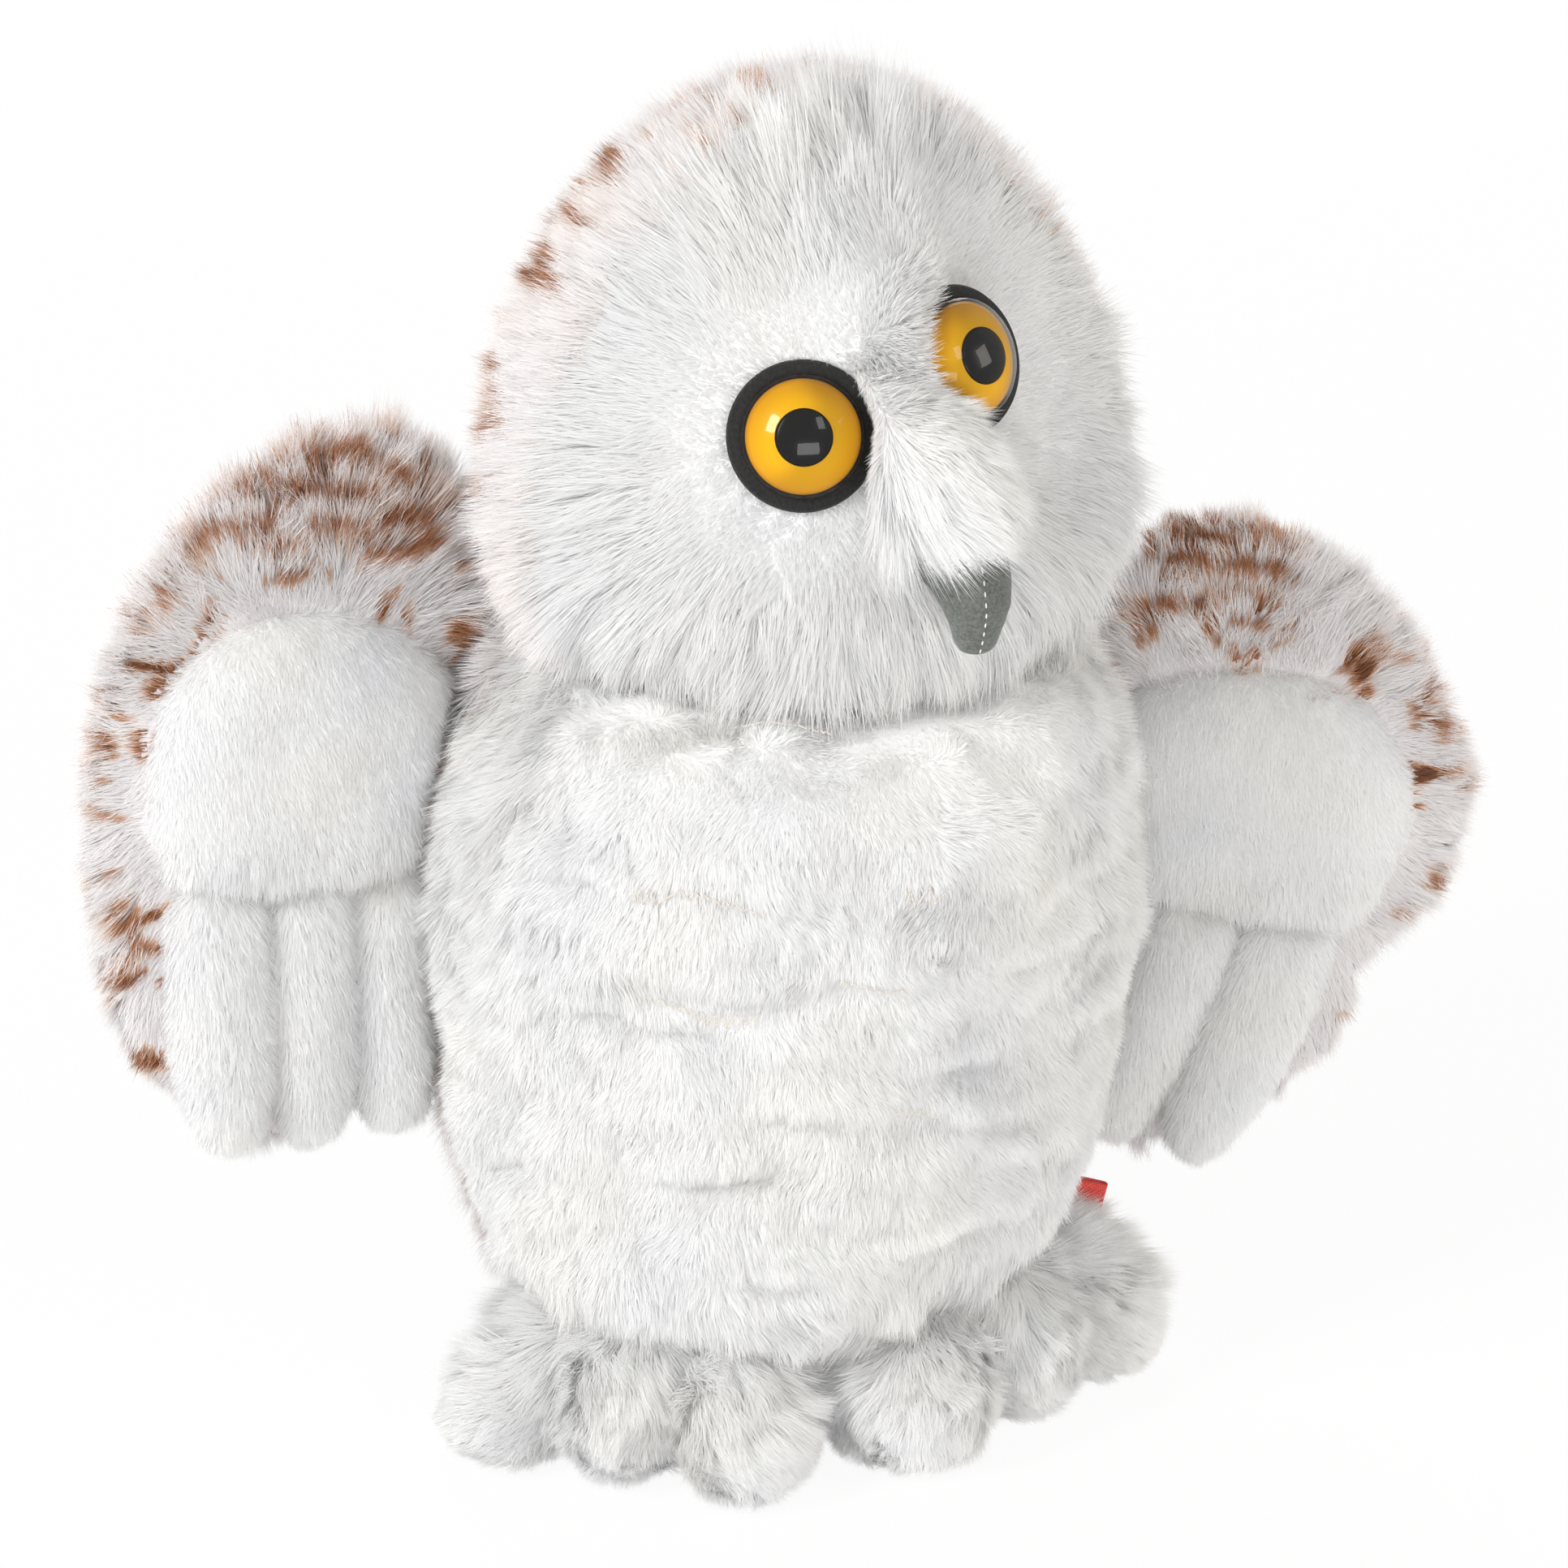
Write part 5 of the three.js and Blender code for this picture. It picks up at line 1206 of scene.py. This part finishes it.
# Feet: each a stuffed white plush mitt with three plump toes and a flat sole, sewn under
# the body. The pile is combed forward over the toes and clipped at their ends.
FOOT_GRID, FOOT_OUT, FOOT_SWELL = 0.003, 0.0015, 0.002
FOOT_PILE = 0.010
ANKLE_FILL = 0.008
OUTER_TOE_LOW = {"right": 0.2, "left": 0.0}
INNER_TOE_FULL = {"right": np.zeros(2), "left": np.array((0.004, 0.002))}
for turn, word in enumerate(("right", "left")):
    foot_nodes = (word + "_foot_cover", word + "_foot_sole", word + "_foot_stuffing")
    low, high = (np.array(corner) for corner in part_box(foot_nodes[1]))
    ankle = (low + high) / 2
    foot_cloth = stuffed(word + "_foot_cloth", foot_nodes, FOOT_GRID, -FOOT_OUT, FOOT_SWELL)
    points = read_points(foot_cloth.data)
    relaxed(foot_cloth.data, 40)
    merged = np.maximum(points[:, 2], read_points(foot_cloth.data)[:, 2] + 0.001)
    points[:, 2] += eased(0.010, 0.022, points[:, 2]) * (merged - points[:, 2])
    points[:, 2] = np.maximum(points[:, 2], 0.0004)
    by_ankle = eased(0.042, 0.016, np.linalg.norm(points[:, :2] - ankle[:2], axis=1))
    points[:, 2] += ANKLE_FILL * by_ankle * eased(0.010, 0.024, points[:, 2])
    points[:, :2] -= INNER_TOE_FULL[word] * eased(0.036, 0.014, np.abs(points[:, 0]))[:, None]
    points[:, 2] *= 1 - OUTER_TOE_LOW[word] * eased(0.046, 0.064, np.abs(points[:, 0]))
    write_points(foot_cloth.data, points)
    normals = read_points(foot_cloth.data, True)
    away = points - ankle
    away[:, 2] = 0
    flow = along_cloth(unit(away) + (0, 0, -0.35), normals)
    flow += 0.5 * along_cloth(swirl(points, 0.02, 71), normals)
    comb = unit(unit(flow) * 0.8 + normals * 0.6)
    long = FOOT_PILE * (0.55 + 0.75 * eased(0.010, 0.026, points[:, 2]))
    give(foot_cloth.data, comb=comb, pile=long, tint=0.5 + 0.3 * ripple(points, 0.03, 35),
         growth=eased(-0.9, -0.6, normals[:, 2]))
    foot_cloth.data.materials.append(white_cloth)
    foot_pile = grown(word + "_foot_pile", foot_cloth, white_pile, seed=501 + turn, fibres=10.0,
                      width=0.00028, tuft_pull=0.35, tuft_sway=0.3, stray=0.22)
    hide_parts(*foot_nodes)
    for piece in (foot_cloth, foot_pile):
        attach(piece, "body")

# Tail: a short flat stuffed flap low on the back, printed plush above and white below,
# sewn to the back along one straight seam.
TAIL_GRID, TAIL_INSET, TAIL_SWELL = 0.003, 0.0015, 0.0015
TAIL_PILE = 0.008
TAIL_NODES = ("tail_top_panel", "tail_under_panel", "tail_stuffing")
tail_cloth = stuffed("tail_cloth", TAIL_NODES, TAIL_GRID, TAIL_INSET, TAIL_SWELL)
points, normals = skin(tail_cloth)
flow = along_cloth((0, 0.8, -0.6), normals)
comb = unit(unit(flow) * 0.9 + normals * 0.45)
on_top = normals @ np.array((0, 0.56, 0.83)) > 0
tail_marks = scattered(points, normals, on_top & (points[:, 1] > 0.055), seed=9, apart=0.013, length=0.014,
                       half_width=0.0016)
give(tail_cloth.data, comb=comb, pile=np.full(len(points), TAIL_PILE), tint=np.where(on_top, 0.0, 0.5),
     growth=on_top * 1.0)
tail_cloth.data.materials.append(white_cloth)
tail_top_pile = grown("tail_top_pile", tail_cloth, printed_pile, seed=601, fibres=6.0, width=0.00036,
                      marks=tail_marks)
give(tail_cloth.data, growth=(~on_top) * 1.0)
tail_under_pile = grown("tail_under_pile", tail_cloth, white_pile, seed=602, fibres=6.0, width=0.00036)
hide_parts(*TAIL_NODES)
for piece, slot in (
    (tail_cloth, "white_plush"), (tail_top_pile, "printed_plush"), (tail_under_pile, "white_plush"),
):
    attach(piece, "tail")

# Labels: a folded red ribbon tab and a plain white care tape behind it, both sewn into
# the side seam low on the owl's left. Neither carries any words.
TAB_WIDE = 0.010
TAB_OUT = 0.0155
CARE_WIDE = 0.012
CARE_OUT = 0.012
TAPE_THICK = 0.0005
SEWN_IN = 0.003
HALF_GAP = 0.0007


def tape(name, run, across, material):
    """A woven tape of one thickness, along a run of points."""
    mesh = bpy.data.meshes.new(name)
    shares = [k / 6 - 0.5 for k in range(7)]
    points = [tuple(Vector(place) + across * share) for place in run for share in shares]
    faces = []
    for i in range(len(run) - 1):
        for k in range(6):
            first = i * 7 + k
            faces.append((first, first + 1, first + 8, first + 7))
    mesh.from_pydata(points, [], faces)
    piece = placed(name, mesh)
    body = piece.modifiers.new("thickness", "SOLIDIFY")
    body.thickness = TAPE_THICK
    body.offset = 0
    finished(piece)
    piece.data.shade_smooth()
    piece.data.materials.append(material)
    return piece


def tape_material(name, dark, pale, sheen):
    """Satin tape: fine ribs across it, and a low shine."""
    made, tree, shader = blank_material(name)
    where = out(node(tree, "ShaderNodeTexCoord"), "Object")
    rib = node(tree, "ShaderNodeTexWave", where, wave_type="BANDS", bands_direction="X")
    rib.inputs["Scale"].default_value = 700.0
    rib.inputs["Distortion"].default_value = 0.6
    tree.links.new(ramped(tree, out(rib, "Fac"), ((0.2, dark), (0.8, pale))), shader.inputs["Base Color"])
    raised(tree, shader, out(rib, "Fac"), strength=0.3, distance=0.0003)
    shader.inputs["Roughness"].default_value = 0.5
    shader.inputs["Sheen Weight"].default_value = sheen
    return made


red_ribbon = tape_material("red_ribbon", (0.58, 0.022, 0.012), (0.70, 0.035, 0.02), 0.2)
care_satin = tape_material("care_satin", (0.80, 0.80, 0.79), (0.88, 0.88, 0.87), 0.1)
tab_low, tab_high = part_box("label_tab")
droop = math.radians(14)
out_way = Vector((math.cos(droop), -0.25, -math.sin(droop)))
up_way = Vector((math.sin(droop), 0, math.cos(droop)))
tab_root = Vector((tab_low.x - 0.0025, (tab_low.y + tab_high.y) / 2, (tab_low.z + tab_high.z) / 2 + 0.0035))
reach = TAB_OUT + SEWN_IN - HALF_GAP
run = []
for k in range(9):
    belly_out = -HALF_GAP * (1 + math.sin(3 * k / 8))
    run.append(tab_root + out_way * (reach * k / 8) + Vector((0, belly_out, 0)))
bend = run[-1].y - (tab_root + out_way * reach).y
for k in range(1, 6):
    turn = math.pi * k / 6
    fold = reach + HALF_GAP * math.sin(turn)
    run.append(tab_root + out_way * fold + Vector((0, bend * math.cos(turn), 0)))
run += [tab_root + out_way * (reach * k / 8) + Vector((0, HALF_GAP, 0)) for k in range(8, -1, -1)]
red_tab = tape("red_tab", run, up_way * TAB_WIDE, red_ribbon)
care_root = tab_root + Vector((0, 0.0022, -0.0045))
care_way = Vector((math.cos(droop * 1.6), -0.05, -math.sin(droop * 1.6)))
care_reach = CARE_OUT + SEWN_IN
run = []
for k in range(11):
    wave = 0.0009 * math.sin(k * 0.5)
    run.append(care_root + care_way * (care_reach * k / 10) + Vector((0, wave, 0)))
care_tape = tape("care_tape", run, up_way * CARE_WIDE, care_satin)
for piece, stands_for, slot in (
    (red_tab, "label_tab", "red_ribbon"), (care_tape, "care_label", "care_cloth"),
):
    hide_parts(stands_for)
    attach(piece, "body")

# Floor and light: a pale floor, a soft lamp high on the left, a low one in front, weaker
# ones on the right and behind, and a dim surround. Seen straight on, floor and surround
# are white, with a faint shadow.
FLOOR_HALF = 4
FLOOR_WHITE_SEEN, FLOOR_WHITE = 0.63, 0.30
SURROUND = 0.36


def seen_straight(tree):
    """1 for rays from the camera, off a shine or through glass, and 0 for all others."""
    path = node(tree, "ShaderNodeLightPath")
    seen = out(path, "Is Camera Ray")
    for kind in ("Is Glossy Ray", "Is Transmission Ray"):
        seen = out(node(tree, "ShaderNodeMath", seen, out(path, kind), operation="MAXIMUM"))
    return seen


floor_mesh = bpy.data.meshes.new("floor")
corners = [(x * FLOOR_HALF, y * FLOOR_HALF, 0) for x, y in ((-1, -1), (1, -1), (1, 1), (-1, 1))]
floor_mesh.from_pydata(corners, [], [(0, 1, 2, 3)])
floor = placed("floor", floor_mesh)
floor_paint, tree, shader = blank_material("floor_paint")
tree.nodes.remove(shader)
share = node(tree, "ShaderNodeMath", seen_straight(tree), FLOOR_WHITE_SEEN, FLOOR_WHITE,
             operation="MULTIPLY_ADD")
matt = node(tree, "ShaderNodeBsdfDiffuse", (0.9, 0.9, 0.9, 1))
glow = node(tree, "ShaderNodeEmission", (1, 1, 1, 1), 1.0)
both = node(tree, "ShaderNodeMixShader", out(share), out(matt), out(glow))
tree.links.new(out(both), tree.nodes["Material Output"].inputs["Surface"])
floor.data.materials.append(floor_paint)
floor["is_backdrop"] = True

world = bpy.data.worlds.new("surround")
scene.world = world
world.use_nodes = True
tree = world.node_tree
sky = tree.nodes["Background"]
sky.inputs["Color"].default_value = (1, 1, 1, 1)
sky.inputs["Strength"].default_value = SURROUND
white = node(tree, "ShaderNodeBackground", (1, 1, 1, 1), 1.0)
both = node(tree, "ShaderNodeMixShader", seen_straight(tree), out(sky), out(white))
tree.links.new(out(both), tree.nodes["World Output"].inputs["Surface"])

WARM, PLAIN = (1.0, 0.93, 0.84), (1.0, 1.0, 1.0)
for name, turn, rise, far, wide, tall, power, colour in (
    ("window_lamp", -64, 33, 1.5, 0.36, 0.62, 15.5, PLAIN), ("front_lamp", -4, 3, 1.8, 1.0, 0.6, 11.0, PLAIN),
    ("panel_lamp", 20, 38, 1.5, 0.24, 0.44, 1.8, PLAIN), ("side_lamp", 60, 20, 1.5, 0.5, 0.6, 5.0, WARM),
    ("back_lamp", 168, 32, 1.8, 1.2, 0.8, 14.0, PLAIN),
):
    lamp = placed(name, bpy.data.lights.new(name, "AREA"))
    lamp.data.shape = "RECTANGLE"
    lamp.data.size, lamp.data.size_y = wide, tall
    lamp.data.energy = power
    lamp.data.color = colour
    lamp.visible_camera = False
    aimed(lamp, turn, rise, far)

scene.view_settings.view_transform = "Standard"
bpy.context.view_layer.update()
low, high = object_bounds()
